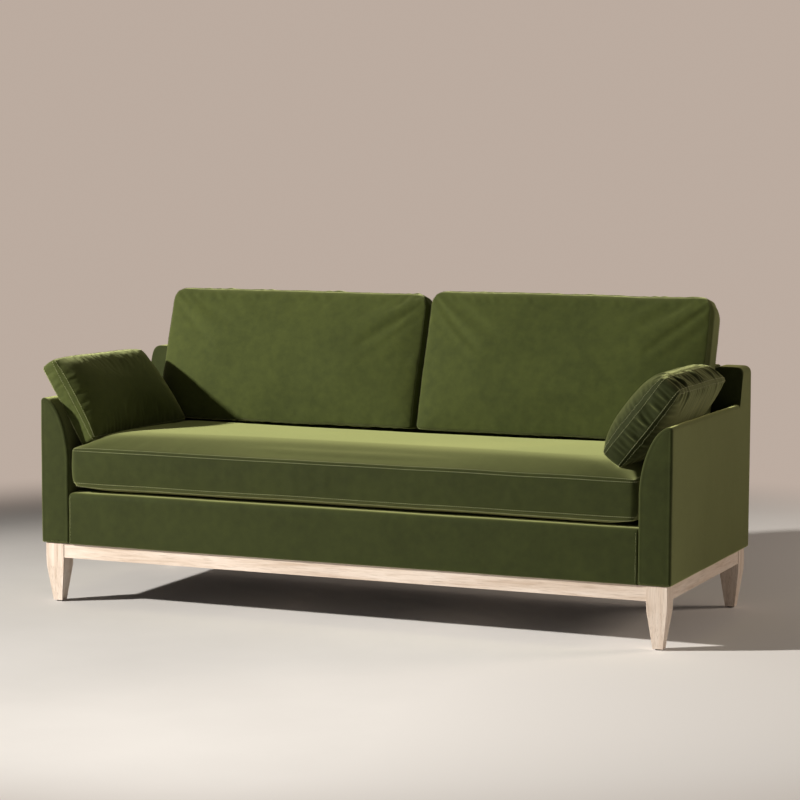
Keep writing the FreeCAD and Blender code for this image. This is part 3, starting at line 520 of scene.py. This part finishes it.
def make_seat():
    """The bench seat: a boxed cushion with a crown that rolls over to its front and end seams."""
    low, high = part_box("seat_cushion_cover")
    seam = low.z + 142 * MM
    under = 26 * MM
    length, depth, thick = high.x - low.x, high.y - low.y, seam - low.z - under
    corner = Vector((low.x, low.y, low.z + under))

    def fall(a, b, side):
        """Rounded at the front and the ends, full to the rear; the underside rolls tightly to its seam."""
        power = 5.0 if b < 0.5 else 16.0
        full = (1 - abs(2 * a - 1) ** 26.0) * (1 - abs(2 * b - 1) ** power)
        return full if side > 0 else full ** 0.42

    def tuck(local, a, b, c):
        """Turns the bottom edges under, where the cushion's weight rests on them."""
        near = max(0.0, 1 - c / 0.22)
        local.x += (0.5 - a) * 2 * 6 * MM * near * near
        local.y += (0.5 - b) * 2 * 3 * MM * near * near
        return local

    def limit(local):
        """Keeps the cushion to its place, and presses its crown in under the arm pillows."""
        x = min(max(local.x, -4 * MM), length + 4 * MM)
        y = min(max(local.y, -8 * MM), depth + 0.2 * MM)
        z = max(eased(local.z, high.z + 3 * MM - corner.z, 16 * MM), -under)
        at = Vector((x, y, z))
        while at.z > 0 and any(in_pillow(pillow, at + corner) for pillow in PRESSING):
            at.z -= 1 * MM
        return at

    make_cushion("seat_cushion", {
        "size": (length, depth, thick), "to_world": Matrix.Translation(corner), "corner": (20 * MM, 20 * MM),
        "crown": (under, high.z - seam - 2 * MM), "fall": fall, "belly": 3 * MM, "lumps": 1.6 * MM,
        "fold": 1.0 * MM, "pucker": 0.8 * MM, "pucker_reach": 20 * MM, "folds_per_metre": 26.0, "seed": 1,
        "cell": 12 * MM, "pressure": 0.6, "slack": (0.0, 0.010), "cap": 9 * MM, "fill": 0.9,
        "warp": tuck, "limit": limit, "velvet": VELVET, "thread": THREAD})


def rolled(t):
    """How far a quarter circle has dropped, of its radius, where t of its run is gone."""
    return 1 - math.sqrt(1 - t * t)


def make_back_cushion(side, sign):
    """A reclined box with a full front that rolls over to its top and end seams; its foot is cut level."""
    name = f"back_cushion_{side}"
    low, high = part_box(f"{name}_cover")
    lean = math.atan(RECLINE)
    up = Vector((0, math.sin(lean), math.cos(lean)))
    out = Vector((0, -math.cos(lean), math.sin(lean)))
    clear = 8.3 * MM
    thick = 100 * MM
    rear_roll = 26 * MM
    height = (high.z - low.z - rear_roll) / math.cos(lean)
    width = high.x - low.x + 4 * MM
    outwards = (8 if sign < 0 else 2) * MM
    origin = Vector((low.x + 2 * MM - outwards, back_plane(low.z) - clear * math.cos(lean), low.z))

    brow, end_roll = 46 * MM, 40 * MM     # how far the front's top and ends take to roll over

    def gathers(x, y):
        """The slanting gathers along an edge of the front: x runs along the edge, y across it."""
        return noise.noise(Vector(((x + 0.8 * y) * 60, y * 12, sign * 3.0)))

    def warp(local, a, b, c):
        """Cuts the foot level with the seat and rolls the top and ends of the front over to their seams."""
        level = 1 - smooth(b / 0.45)
        past = min(max(local.y - (height - brow), 0.0) / brow, 1.0)
        outer = max(0.0, 1 - min(a, 1 - a) * width / end_roll)
        front = c * c
        local.z -= 0.8 * brow * rolled(past) * front
        local.z -= 0.35 * end_roll * rolled(outer) * (1 - past) * front
        local.z += 4.5 * MM * gathers(local.x, local.y) * smooth(past * 3) * front
        local.z += 1.5 * MM * gathers(local.y, local.x) * smooth(outer * 2) * (1 - past) * front
        local.y -= local.z * RECLINE * level
        local.y += 6 * MM * smooth(c) * smooth(b * 4 - 3)
        return local

    def fall(a, b, side):
        """Full nearly to its edges, where it rolls over to the seams."""
        ends = 1 - abs(2 * a - 1) ** 5.0
        foot_and_top = 1 - abs(2 * b - 1) ** (2.6 if b < 0.5 else 4.0)
        return (ends * foot_and_top) ** 0.62

    def limit(local):
        """Keeps the cushion between its neighbours, on the seat and off the inside back."""
        floor = -local.z * RECLINE - 6 * MM
        return Vector((min(max(local.x, -4 * MM), width + 4 * MM), max(local.y, floor), max(local.z, 0)))

    make_cushion(name, {
        "size": (width, height, thick), "to_world": axes(origin, Vector((1, 0, 0)), up, out),
        "corner": (16 * MM, 56 * MM), "crown": (0.0, 19 * MM), "fall": fall, "belly": 8 * MM,
        "lumps": 3.0 * MM, "fold": 4.5 * MM, "pucker": 2.2 * MM, "pucker_reach": 30 * MM,
        "folds_per_metre": 30.0, "seed": 2 + sign,
        "cell": 9 * MM, "pressure": 1.2, "slack": (0.0, 0.03), "cap": 14 * MM, "fill": 0.75,
        # painted light: the back cushions take the lighter copy of the velvet
        "warp": warp, "limit": limit, "velvet": PAINTED_LIGHT_VELVET, "thread": DARK_THREAD})


# Each arm pillow's lower outer seam (x, z), its lean from upright, the turn of its rear end and its form.
PILLOWS = {
    "left": {"foot": (0.939, 0.508), "tilt": 32, "turn": 4, "thick": 52 * MM, "crown": (3 * MM, 48 * MM),
             "length": 534 * MM, "twist": 30 * MM, "fold": 4.0 * MM, "pucker": 2.6 * MM,
             # painted light: the left pillow takes the lighter copy of the velvet
             "velvet": PAINTED_LIGHT_VELVET},
    "right": {"foot": (0.885, 0.533), "tilt": 38, "turn": 0, "thick": 66 * MM, "crown": (30 * MM, 60 * MM),
              "length": 504 * MM, "twist": 0.0, "fold": 13 * MM, "pucker": 8.0 * MM,
              # painted shade: the right pillow takes the darker copy of the velvet
              "velvet": PAINTED_SHADE_VELVET},
}
PILLOW_HEIGHT = 302 * MM
PRESSING = []     # the pillows' specs, for the hollows that they press into the seat


def in_pillow(spec, point):
    """Whether a point lies in a pillow or within a fabric's thickness of it."""
    width, height, thick = spec["size"]
    at = spec["to_world"].inverted() @ point
    gap = 1.5 * MM
    if not (-gap < at.x < width + gap and -gap < at.y < height):
        return False
    a, b = min(max(at.x / width, 0), 1), min(max(at.y / height, 0), 1)
    shift = spec["shift"](a, b)
    return -gap < at.z - shift < thick + spec["crown"][1] * spec["fall"](a, b, 1) + gap


def make_pillow(side, sign):
    """A boxed pillow that leans out over the arm, standing on its lower outer seam."""
    name = f"arm_pillow_{side}"
    form = PILLOWS[side]
    turn = Matrix.Rotation(math.radians(sign * form["turn"]), 4, "Z")
    lean = math.radians(form["tilt"])
    back = turn @ Vector((0, 1, 0))
    up = turn @ Vector((sign * math.sin(lean), 0, math.cos(lean)))
    inward = turn @ Vector((-sign * math.cos(lean), 0, math.sin(lean)))
    length = form["length"]
    foot = Vector((sign * form["foot"][0], FRONT + 51 * MM, form["foot"][1]))
    if sign < 0:
        to_world = axes(foot, back, up, inward)
    else:
        to_world = axes(foot + back * length, -back, up, inward)

    def shift(a, b):
        """How far the left pillow is twisted inwards, most at its rear foot."""
        away = a if sign < 0 else 1 - a
        return form["twist"] * away * away * (1 - b)

    def warp(local, a, b, c):
        """Twists the pillow and lets its top corners sag."""
        local.z += shift(a, b)
        local.y -= 7 * MM * b * b * abs(2 * a - 1) ** 6
        return local

    def limit(local):
        """Keeps the pillow's rear end clear of the back cushion."""
        x = min(local.x, length + 0.5 * MM) if sign < 0 else max(local.x, -0.5 * MM)
        return Vector((x, local.y, local.z))

    spec = {
        "size": (length, PILLOW_HEIGHT, form["thick"]), "to_world": to_world, "corner": (12 * MM, 12 * MM),
        "crown": form["crown"], "fall": pillow_fall(4.2, 2.8), "belly": 2 * MM, "lumps": 3.0 * MM,
        "fold": form["fold"], "pucker": form["pucker"], "pucker_reach": 30 * MM, "folds_per_metre": 52.0,
        "seed": 5 + sign,
        "cell": 5 * MM, "pressure": 1.5, "slack": (0.004, 0.05), "cap": 16 * MM, "fill": 0.7,
        "warp": warp, "shift": shift, "limit": limit, "velvet": form["velvet"], "thread": THREAD}
    PRESSING.append(spec)
    make_cushion(name, spec)


# ------------------------------------------------------------ upholstered arms, border and back

CURVE_START = 0.460         # height at which the inner side of an arm starts to sweep outwards
CORNER = 11 * MM            # radius of an arm's outer top edge
WING_CORNER = 20 * MM       # radius of the top edges of the back's upright ends
BOTTOM_ROLL = 6 * MM        # radius of the bottom edges of arms and wings
EDGE_ROLL = 9 * MM          # radius of an arm's front and rear edges


def bezier(a, b, c, d, t):
    s = 1 - t
    return a * s ** 3 + b * 3 * s * s * t + c * 3 * s * t * t + d * t ** 3


def arm_half_outline():
    """(outer, inner) lists of (x, z) from the bottom up to the crest of an arm, matched height for height."""
    start = Vector((ARM_IN, CURVE_START))
    curve = [start, Vector((ARM_IN, CURVE_START + 0.100)), Vector((ARM_IN + 0.042, ARM_TOP - 0.005)),
             Vector((ARM_OUT - CORNER, ARM_TOP))]
    inner, outer = straight_sides()
    steps = 30
    for k in range(steps + 1):
        p = bezier(*curve, k / steps)
        inner.append(p)
        climb = p.y - (ARM_TOP - CORNER)
        if climb <= 0:
            outer.append(Vector((ARM_OUT, p.y)))
        else:
            turn = math.asin(min(1.0, climb / CORNER))
            outer.append(Vector((ARM_OUT - CORNER + CORNER * math.cos(turn), p.y)))
    return outer, inner


def straight_sides():
    """Both sides of the outline from the rolled bottom edges up to where the arm's curve starts."""
    inner, outer = [], []
    for k in range(4):
        turn = math.pi / 2 * k / 3
        dx, dz = BOTTOM_ROLL * (1 - math.sin(turn)), BOTTOM_ROLL * (1 - math.cos(turn))
        inner.append(Vector((ARM_IN + dx, BODY_BOTTOM + dz)))
        outer.append(Vector((ARM_OUT - dx, BODY_BOTTOM + dz)))
    levels = 12
    for k in range(1, levels):
        z = BODY_BOTTOM + BOTTOM_ROLL + (CURVE_START - BODY_BOTTOM - BOTTOM_ROLL) * k / levels
        inner.append(Vector((ARM_IN, z)))
        outer.append(Vector((ARM_OUT, z)))
    return inner, outer


def wing_half_outline(count):
    """The same for the upright end of the back: straight sides, round corners, flat top."""
    radius = WING_CORNER
    inner, outer = straight_sides()
    left = count - len(inner)
    rise = BACK_TOP - radius - CURVE_START
    turn_run, flat = radius * math.pi / 2, (ARM_OUT - ARM_IN) / 2 - radius
    total = rise + turn_run + flat
    for k in range(left):
        run = total * k / (left - 1)
        if run < rise:
            dx, z = 0.0, CURVE_START + run
        elif run < rise + turn_run:
            turn = (run - rise) / radius
            dx, z = radius * (1 - math.cos(turn)), BACK_TOP - radius + radius * math.sin(turn)
        else:
            dx, z = radius + run - rise - turn_run, BACK_TOP
        inner.append(Vector((ARM_IN + dx, z)))
        outer.append(Vector((ARM_OUT - dx, z)))
    return outer, inner


def closed_outline(halves):
    """Up the outer side and down the inner one; the two halves share their last point."""
    outer, inner = halves
    return outer + inner[-2::-1]


ARM_HALVES = arm_half_outline()
WING_HALVES = wing_half_outline(len(ARM_HALVES[0]))
ARM_LINE, WING_LINE = closed_outline(ARM_HALVES), closed_outline(WING_HALVES)


def outline_at(y):
    """The upholstered end of the sofa, arm or wing, in the section at depth y."""
    line = []
    for a, w in zip(ARM_LINE, WING_LINE):
        begins = back_plane(a.y) - 4 * MM
        ends = max(back_plane(w.y) + 4 * MM, begins + 14 * MM)
        line.append(a.lerp(w, smooth((y - begins) / (ends - begins))))
    return line


def inset_outline(line, inset):
    """The outline moved inwards along its own normals."""
    moved = []
    for k, p in enumerate(line):
        before, after = line[max(k - 1, 0)], line[min(k + 1, len(line) - 1)]
        along = (after - before).normalized()
        moved.append(p + Vector((-along.y, along.x)) * inset)
    return moved


def add_ring(points, line, y):
    """Adds an outline's points at depth y and gives their indices."""
    start = len(points)
    points += [Vector((p.x, y, p.y)) for p in line]
    return list(range(start, start + len(line)))


def bridge(a, b):
    """Quads between two rings of the same length."""
    count = len(a)
    return [(a[k], a[(k + 1) % count], b[(k + 1) % count], b[k]) for k in range(count)]


def end_panel(points, faces, ring, y, puff, flip):
    """Fills a ring with rows across it, gently puffed along Y."""
    half = len(ring) // 2
    across = 8
    sign = -1 if flip else 1
    rows = []
    for j in range(half):
        opposite = ring[len(ring) - 1 - j]
        a, b = points[ring[j]], points[opposite]
        row = [ring[j]]
        for k in range(1, across):
            f = k / across
            p = a.lerp(b, f)
            p.y = y + sign * puff * smooth(min(f, 1 - f) * 5)
            row.append(len(points))
            points.append(p)
        rows.append(row + [opposite])
    for low, high in zip(rows, rows[1:]):
        for k in range(across):
            face = (low[k], low[k + 1], high[k + 1], high[k])
            faces.append(face if flip else face[::-1])
    crest = ring[half]
    for k in range(across):
        face = (rows[-1][k], rows[-1][k + 1], crest)
        faces.append(face if flip else face[::-1])


def edge_roll(y, inwards):
    """Five (outline, depth) sections round an arm's edge, from its end panel at y; inwards is 1 or -1."""
    line = outline_at(y)
    sections = []
    for k in range(5):
        turn = math.pi / 2 * k / 4
        inset = EDGE_ROLL * (1 - math.sin(turn))
        sections.append((inset_outline(line, inset), y + inwards * EDGE_ROLL * (1 - math.cos(turn))))
    return sections


def arm_stations():
    """Depths of the sections between the edges: close together where the arm turns into the wing."""
    near, far = back_plane(CURVE_START) - 8 * MM, back_plane(BACK_TOP) + 14 * MM
    step, close, rest = 30 * MM, 30, 3
    stations = [FRONT + EDGE_ROLL + step * k for k in range(1, 22)]
    stations = [y for y in stations if y < near]
    stations += [near + (far - near) * k / close for k in range(close + 1)]
    return stations + [far + (REAR - EDGE_ROLL - far) * k / rest for k in range(1, rest)]


def make_arm(side, sign):
    """Arm and wing in one cover: rolled front edge, front panel with a sunk seam, flat rear."""
    points, faces = [], []
    seam = (inset_outline(outline_at(FRONT), EDGE_ROLL + 2.0 * MM), FRONT + 0.9 * MM)
    middle = [(outline_at(y), y) for y in arm_stations()]
    sections = [seam] + edge_roll(FRONT, 1) + middle + edge_roll(REAR, -1)[::-1]
    indices = [add_ring(points, line, y) for line, y in sections]
    for a, b in zip(indices, indices[1:]):
        faces += bridge(a, b)
    end_panel(points, faces, indices[0], FRONT + 0.5 * MM, 0.6 * MM, True)
    end_panel(points, faces, indices[-1], REAR, 0.5 * MM, False)
    points = [p + uneven(p, 0.9 * MM, 6.0, 11 + sign) for p in points]
    if sign < 0:
        points, faces = mirror_points(points), [f[::-1] for f in faces]
    arm = make_object(f"arm_{side}_velvet", points, faces, VELVET)
    subdivide(arm)
    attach(arm, "frame")
    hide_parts(f"arm_cover_{side}")


def sweep(name, section, stations, node, dent):
    """A closed (y, z) section swept along X. dent(x) is how far the fabric sinks at x, as at an end seam."""
    points, faces, rings = [], [], []
    centre = sum(section, Vector((0, 0))) / len(section)
    for x in stations:
        start = len(points)
        for p in section:
            pulled = p + (centre - p).normalized() * dent(x)
            at = Vector((x, pulled.x, pulled.y))
            points.append(at + uneven(at, 0.9 * MM, 6.0, 3))
        rings.append(list(range(start, start + len(section))))
    for a, b in zip(rings, rings[1:]):
        faces += bridge(a, b)
    faces.append(tuple(rings[0][::-1]))
    faces.append(tuple(rings[-1]))
    obj = make_object(name, points, faces, VELVET)
    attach(obj, "frame")
    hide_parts(node)


def arc(centre, radius, start, stop, steps):
    """Points (y, z) on an arc, angles in degrees from +Y towards +Z."""
    return [Vector((centre[0] + radius * math.cos(math.radians(start + (stop - start) * k / steps)),
                    centre[1] + radius * math.sin(math.radians(start + (stop - start) * k / steps))))
            for k in range(steps + 1)]


def straight(a, b, steps):
    """Points between a and b, without the two themselves."""
    return [Vector(a).lerp(Vector(b), k / steps) for k in range(1, steps)]


def end_seam(half):
    """The dent of a swept cover beside the seams at its two ends."""
    return lambda x: 2.2 * MM * max(0.0, 1 - (half - abs(x)) / (5 * MM))


def stations_between(half, cell):
    """Places along X from -half to half, close together at both ends."""
    fractions = spaced(2 * half, cell, [0, 2 * MM, 5 * MM, 12 * MM])
    return [-half + 2 * half * f for f in fractions]


FOOT_ROLL = 5 * MM      # radius of the bottom edges of the border and the outside back
WALL = 12 * MM          # thickness of their padding


def make_front_border():
    """The padded rail under the seat cushion, its top edge rolled over, with a sewn seam near each end."""
    low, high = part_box("front_border")
    roll, thick = 18 * MM, 32 * MM
    f, r = low.y, high.y
    section = arc((f + FOOT_ROLL, low.z + FOOT_ROLL), FOOT_ROLL, 270, 180, 4)
    section += straight((f, low.z + FOOT_ROLL), (f, high.z - roll), 10)
    section += arc((f + roll, high.z - roll), roll, 180, 90, 6)
    section += straight((f + roll, high.z), (r, high.z), 4)
    section += [Vector((r, high.z)), Vector((r, high.z - WALL)), Vector((f + thick, high.z - WALL)),
                Vector((f + thick, low.z))]
    section.reverse()
    half = high.x
    stations = stations_between(half, 30 * MM)
    sweep("front_border_velvet", section, stations, "front_border", end_seam(half))
    seams = []
    seam_foot, seam_height, seam_inset = low.z + 8 * MM, high.z - low.z - 20 * MM, 5 * MM
    for x in (-half + seam_inset, half - seam_inset):
        seams.append([(Vector((x, f, seam_foot + seam_height * k / 20)), Vector((0, -1, 0)))
                      for k in range(21)])
    stitching("front_border_stitching", seams, "frame", pitch=4.5 * MM, length=2.8 * MM, thick=0.4 * MM,
              lift=0.3 * MM)


def make_back():
    """Inside back, top and outside back in one cover: a reclined front, a rolled top and an upright rear."""
    low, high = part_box("back_cover")
    roll = 15 * MM
    slanted_wall = 1.05 * WALL
    top, rear = high.z, high.y
    lean = math.degrees(math.atan(RECLINE))
    front_roll = (back_plane(top - roll) + roll / math.cos(math.radians(lean)), top - roll)
    foot, under_top = BORDER_TOP - WALL, top - 30 * MM
    section = [Vector((back_plane(foot) + slanted_wall, foot)), Vector((back_plane(foot), foot))]
    section += straight(section[-1], (back_plane(top - roll), top - roll), 16)
    section += arc(front_roll, roll, 180 - lean, 90, 6)
    section += straight((front_roll[0], top), (rear - roll, top), 3)
    section += arc((rear - roll, top - roll), roll, 90, 0, 6)
    section += straight((rear, top - roll), (rear, low.z + FOOT_ROLL), 18)
    section += arc((rear - FOOT_ROLL, low.z + FOOT_ROLL), FOOT_ROLL, 0, -90, 4)
    section += [Vector((rear - WALL, low.z)), Vector((rear - WALL, under_top)),
                Vector((back_plane(under_top) + slanted_wall, under_top))]
    section.reverse()
    half = high.x
    sweep("back_velvet", section, stations_between(half, 40 * MM), "back_cover", end_seam(half))


# ------------------------------------------------------------ carried-over CAD pieces

def paint(material, *names, bevel=0.0):
    """Gives CAD nodes their material and eases their sharp edges."""
    for name in names:
        node = NODES[name]
        for slot in node.material_slots:
            slot.material = material
        if bevel:
            mod = node.modifiers.new("eased", "BEVEL")
            mod.width = bevel
            mod.segments = 2
            mod.limit_method = "ANGLE"
            mod.angle_limit = math.radians(30)
            mod.harden_normals = False


def paint_cad():
    paint(OAK["Z"], *[n for n in NODES if n.startswith("leg_") and n != "leg_glides"], bevel=1.5 * MM)
    paint(OAK["X"], "base_rail_front", "base_rail_rear", bevel=1.2 * MM)
    paint(OAK["Y"], "base_rail_left", "base_rail_right", "base_cross_rails", bevel=1.2 * MM)
    paint(OAK["X"], "base_corner_braces", bevel=1 * MM)
    paint(NYLON, "leg_glides")
    paint(STEEL, "base_bolts", "base_bolt_washers", "seat_springs", "spring_clips", "spring_tie_wires")
    timber = [n for n in NODES if n.startswith(("seat_rail", "arm_front_", "arm_top", "back_post"))]
    timber += ["spring_rail", "seat_stretchers", "seat_corner_blocks", "back_centre_post", "back_top_rail"]
    paint(TIMBER, *timber)
    paint(FELT, "deck_pad")
    paint(CAMBRIC, "dust_cover")
    paint(WEBBING, "back_webbing")
    paint(TAPE, *[n for n in NODES if n.endswith("_zip")])
    paint(BRASS, *[n for n in NODES if n.endswith("_zip_slider")])


# ------------------------------------------------------------ stage, light and camera

FAR_BEIGE = (0.50, 0.41, 0.35)


def make_floor():
    """A pale floor with a cloudy tone and painted shade that darkens it towards the left, that turns into the
    studio's beige far away.
    """
    mat, tree, shader, add, ramp = node_material("floor")
    place = add("ShaderNodeTexCoord").outputs["Object"]
    cloudy = add("ShaderNodeTexNoise", {"Vector": place, "Scale": 0.9, "Detail": 5.0, "Roughness": 0.55})
    across = add("ShaderNodeSeparateXYZ", {0: place}).outputs["X"]
    # painted shade: the floor's colour grows darker from right to left along X
    painted_shade_leftwards = add("ShaderNodeMapRange", {"Value": across, "From Min": -1.4, "From Max": 1.4},
               interpolation_type="SMOOTHSTEP")
    tone_and_painted_shade = add("ShaderNodeMath", {0: cloudy.outputs["Fac"], 1: 0.35, 2: painted_shade_leftwards.outputs[0]},
                 operation="MULTIPLY_ADD")
    tree.links.new(ramp(tone_and_painted_shade.outputs[0], [(0.15, (0.48, 0.47, 0.46)), (1.0, (0.93, 0.915, 0.90))]),
                   shader.inputs["Base Color"])
    shader.inputs["Roughness"].default_value = 0.8
    distance = add("ShaderNodeVectorMath", {0: place}, operation="LENGTH")
    far = add("ShaderNodeMapRange",
              {"Value": distance.outputs["Value"], "From Min": 2.3, "From Max": 3.6},
              interpolation_type="SMOOTHSTEP")
    beige = add("ShaderNodeEmission", {"Color": (*FAR_BEIGE, 1), "Strength": 1.0})
    mixed = add("ShaderNodeMixShader", {0: far.outputs[0], 1: shader.outputs[0], 2: beige.outputs[0]})
    tree.links.new(mixed.outputs[0], tree.nodes["Material Output"].inputs["Surface"])
    reach = 300.0
    corners = [(-reach, -reach, 0), (reach, -reach, 0), (reach, reach, 0), (-reach, reach, 0)]
    floor = make_object("floor", corners, [(0, 1, 2, 3)], mat, False)


def make_studio():
    """Light from all round: beige at eye level like the floor's far part, dim overhead."""
    world = bpy.data.worlds.new("studio")
    world.use_nodes = True
    bpy.context.scene.world = world
    tree = world.node_tree
    background = tree.nodes["Background"]
    direction = tree.nodes.new("ShaderNodeTexCoord")
    height = tree.nodes.new("ShaderNodeSeparateXYZ")
    tree.links.new(direction.outputs["Generated"], height.inputs[0])
    fade = tree.nodes.new("ShaderNodeValToRGB")
    fade.color_ramp.elements[0].position = 0.06
    fade.color_ramp.elements[0].color = (*FAR_BEIGE, 1)
    fade.color_ramp.elements[1].position = 0.22
    fade.color_ramp.elements[1].color = (0.07, 0.064, 0.06, 1)
    tree.links.new(height.outputs["Z"], fade.inputs["Fac"])
    tree.links.new(fade.outputs["Color"], background.inputs["Color"])
    background.inputs["Strength"].default_value = 1.0


def aim(lamp, place, target):
    """Puts a lamp at place, shining at target."""
    bpy.context.scene.collection.objects.link(lamp)
    lamp.location = place
    lamp.rotation_euler = (Vector(target) - Vector(place)).to_track_quat("-Z", "Y").to_euler()


def area_light(name, place, target, size, power, colour):
    """A soft square lamp at place, turned to target."""
    data = bpy.data.lights.new(name, "AREA")
    data.size = size
    data.energy = power
    data.color = colour
    aim(bpy.data.objects.new(name, data), place, target)


def make_lights():
    """A low warm key from the far left front, a weak front fill and a warm one behind on the right."""
    make_studio()
    key = bpy.data.lights.new("key", "SPOT")
    key.energy = 3550
    key.color = (1.0, 0.95, 0.88)
    key.spot_size = math.radians(54)
    key.spot_blend = 0.9
    key.shadow_soft_size = 0.16
    aim(bpy.data.objects.new("key", key), (-5.26, -4.0, 3.30), (-0.7, -1.05, 0.3))
    area_light("front_fill", (-1.5, -6.0, 2.0), (0, 0, 0.5), 3.0, 10, (1.0, 0.96, 0.92))
    area_light("rear_fill", (4.6, 2.4, 2.0), (0.9, 0, 0.5), 1.2, 66, (1.0, 0.83, 0.68))


def make_camera():
    """The viewing angle: from the right-hand front, a little above the back cushions, with a long lens."""
    data = bpy.data.cameras.new("camera")
    data.sensor_width = 36.0
    data.lens = 115.7
    camera = bpy.data.objects.new("camera", data)
    bpy.context.scene.collection.objects.link(camera)
    yaw, pitch, roll = 22.917, 5.619, 0.218
    camera.location = (3.236, FRONT - 7.179, 1.480)
    turn = Matrix.Rotation(math.radians(yaw), 4, "Z") @ Matrix.Rotation(math.radians(90 - pitch), 4, "X")
    camera.rotation_euler = (turn @ Matrix.Rotation(math.radians(roll), 4, "Z")).to_euler()
    bpy.context.scene.camera = camera


# ------------------------------------------------------------ the sofa

for side, sign in (("left", -1), ("right", 1)):
    make_arm(side, sign)
    make_back_cushion(side, sign)
    make_pillow(side, sign)
make_front_border()
make_back()
make_seat()
paint_cad()
make_floor()
make_lights()
make_camera()
bpy.context.scene.view_settings.view_transform = "Standard"

bpy.context.view_layer.update()
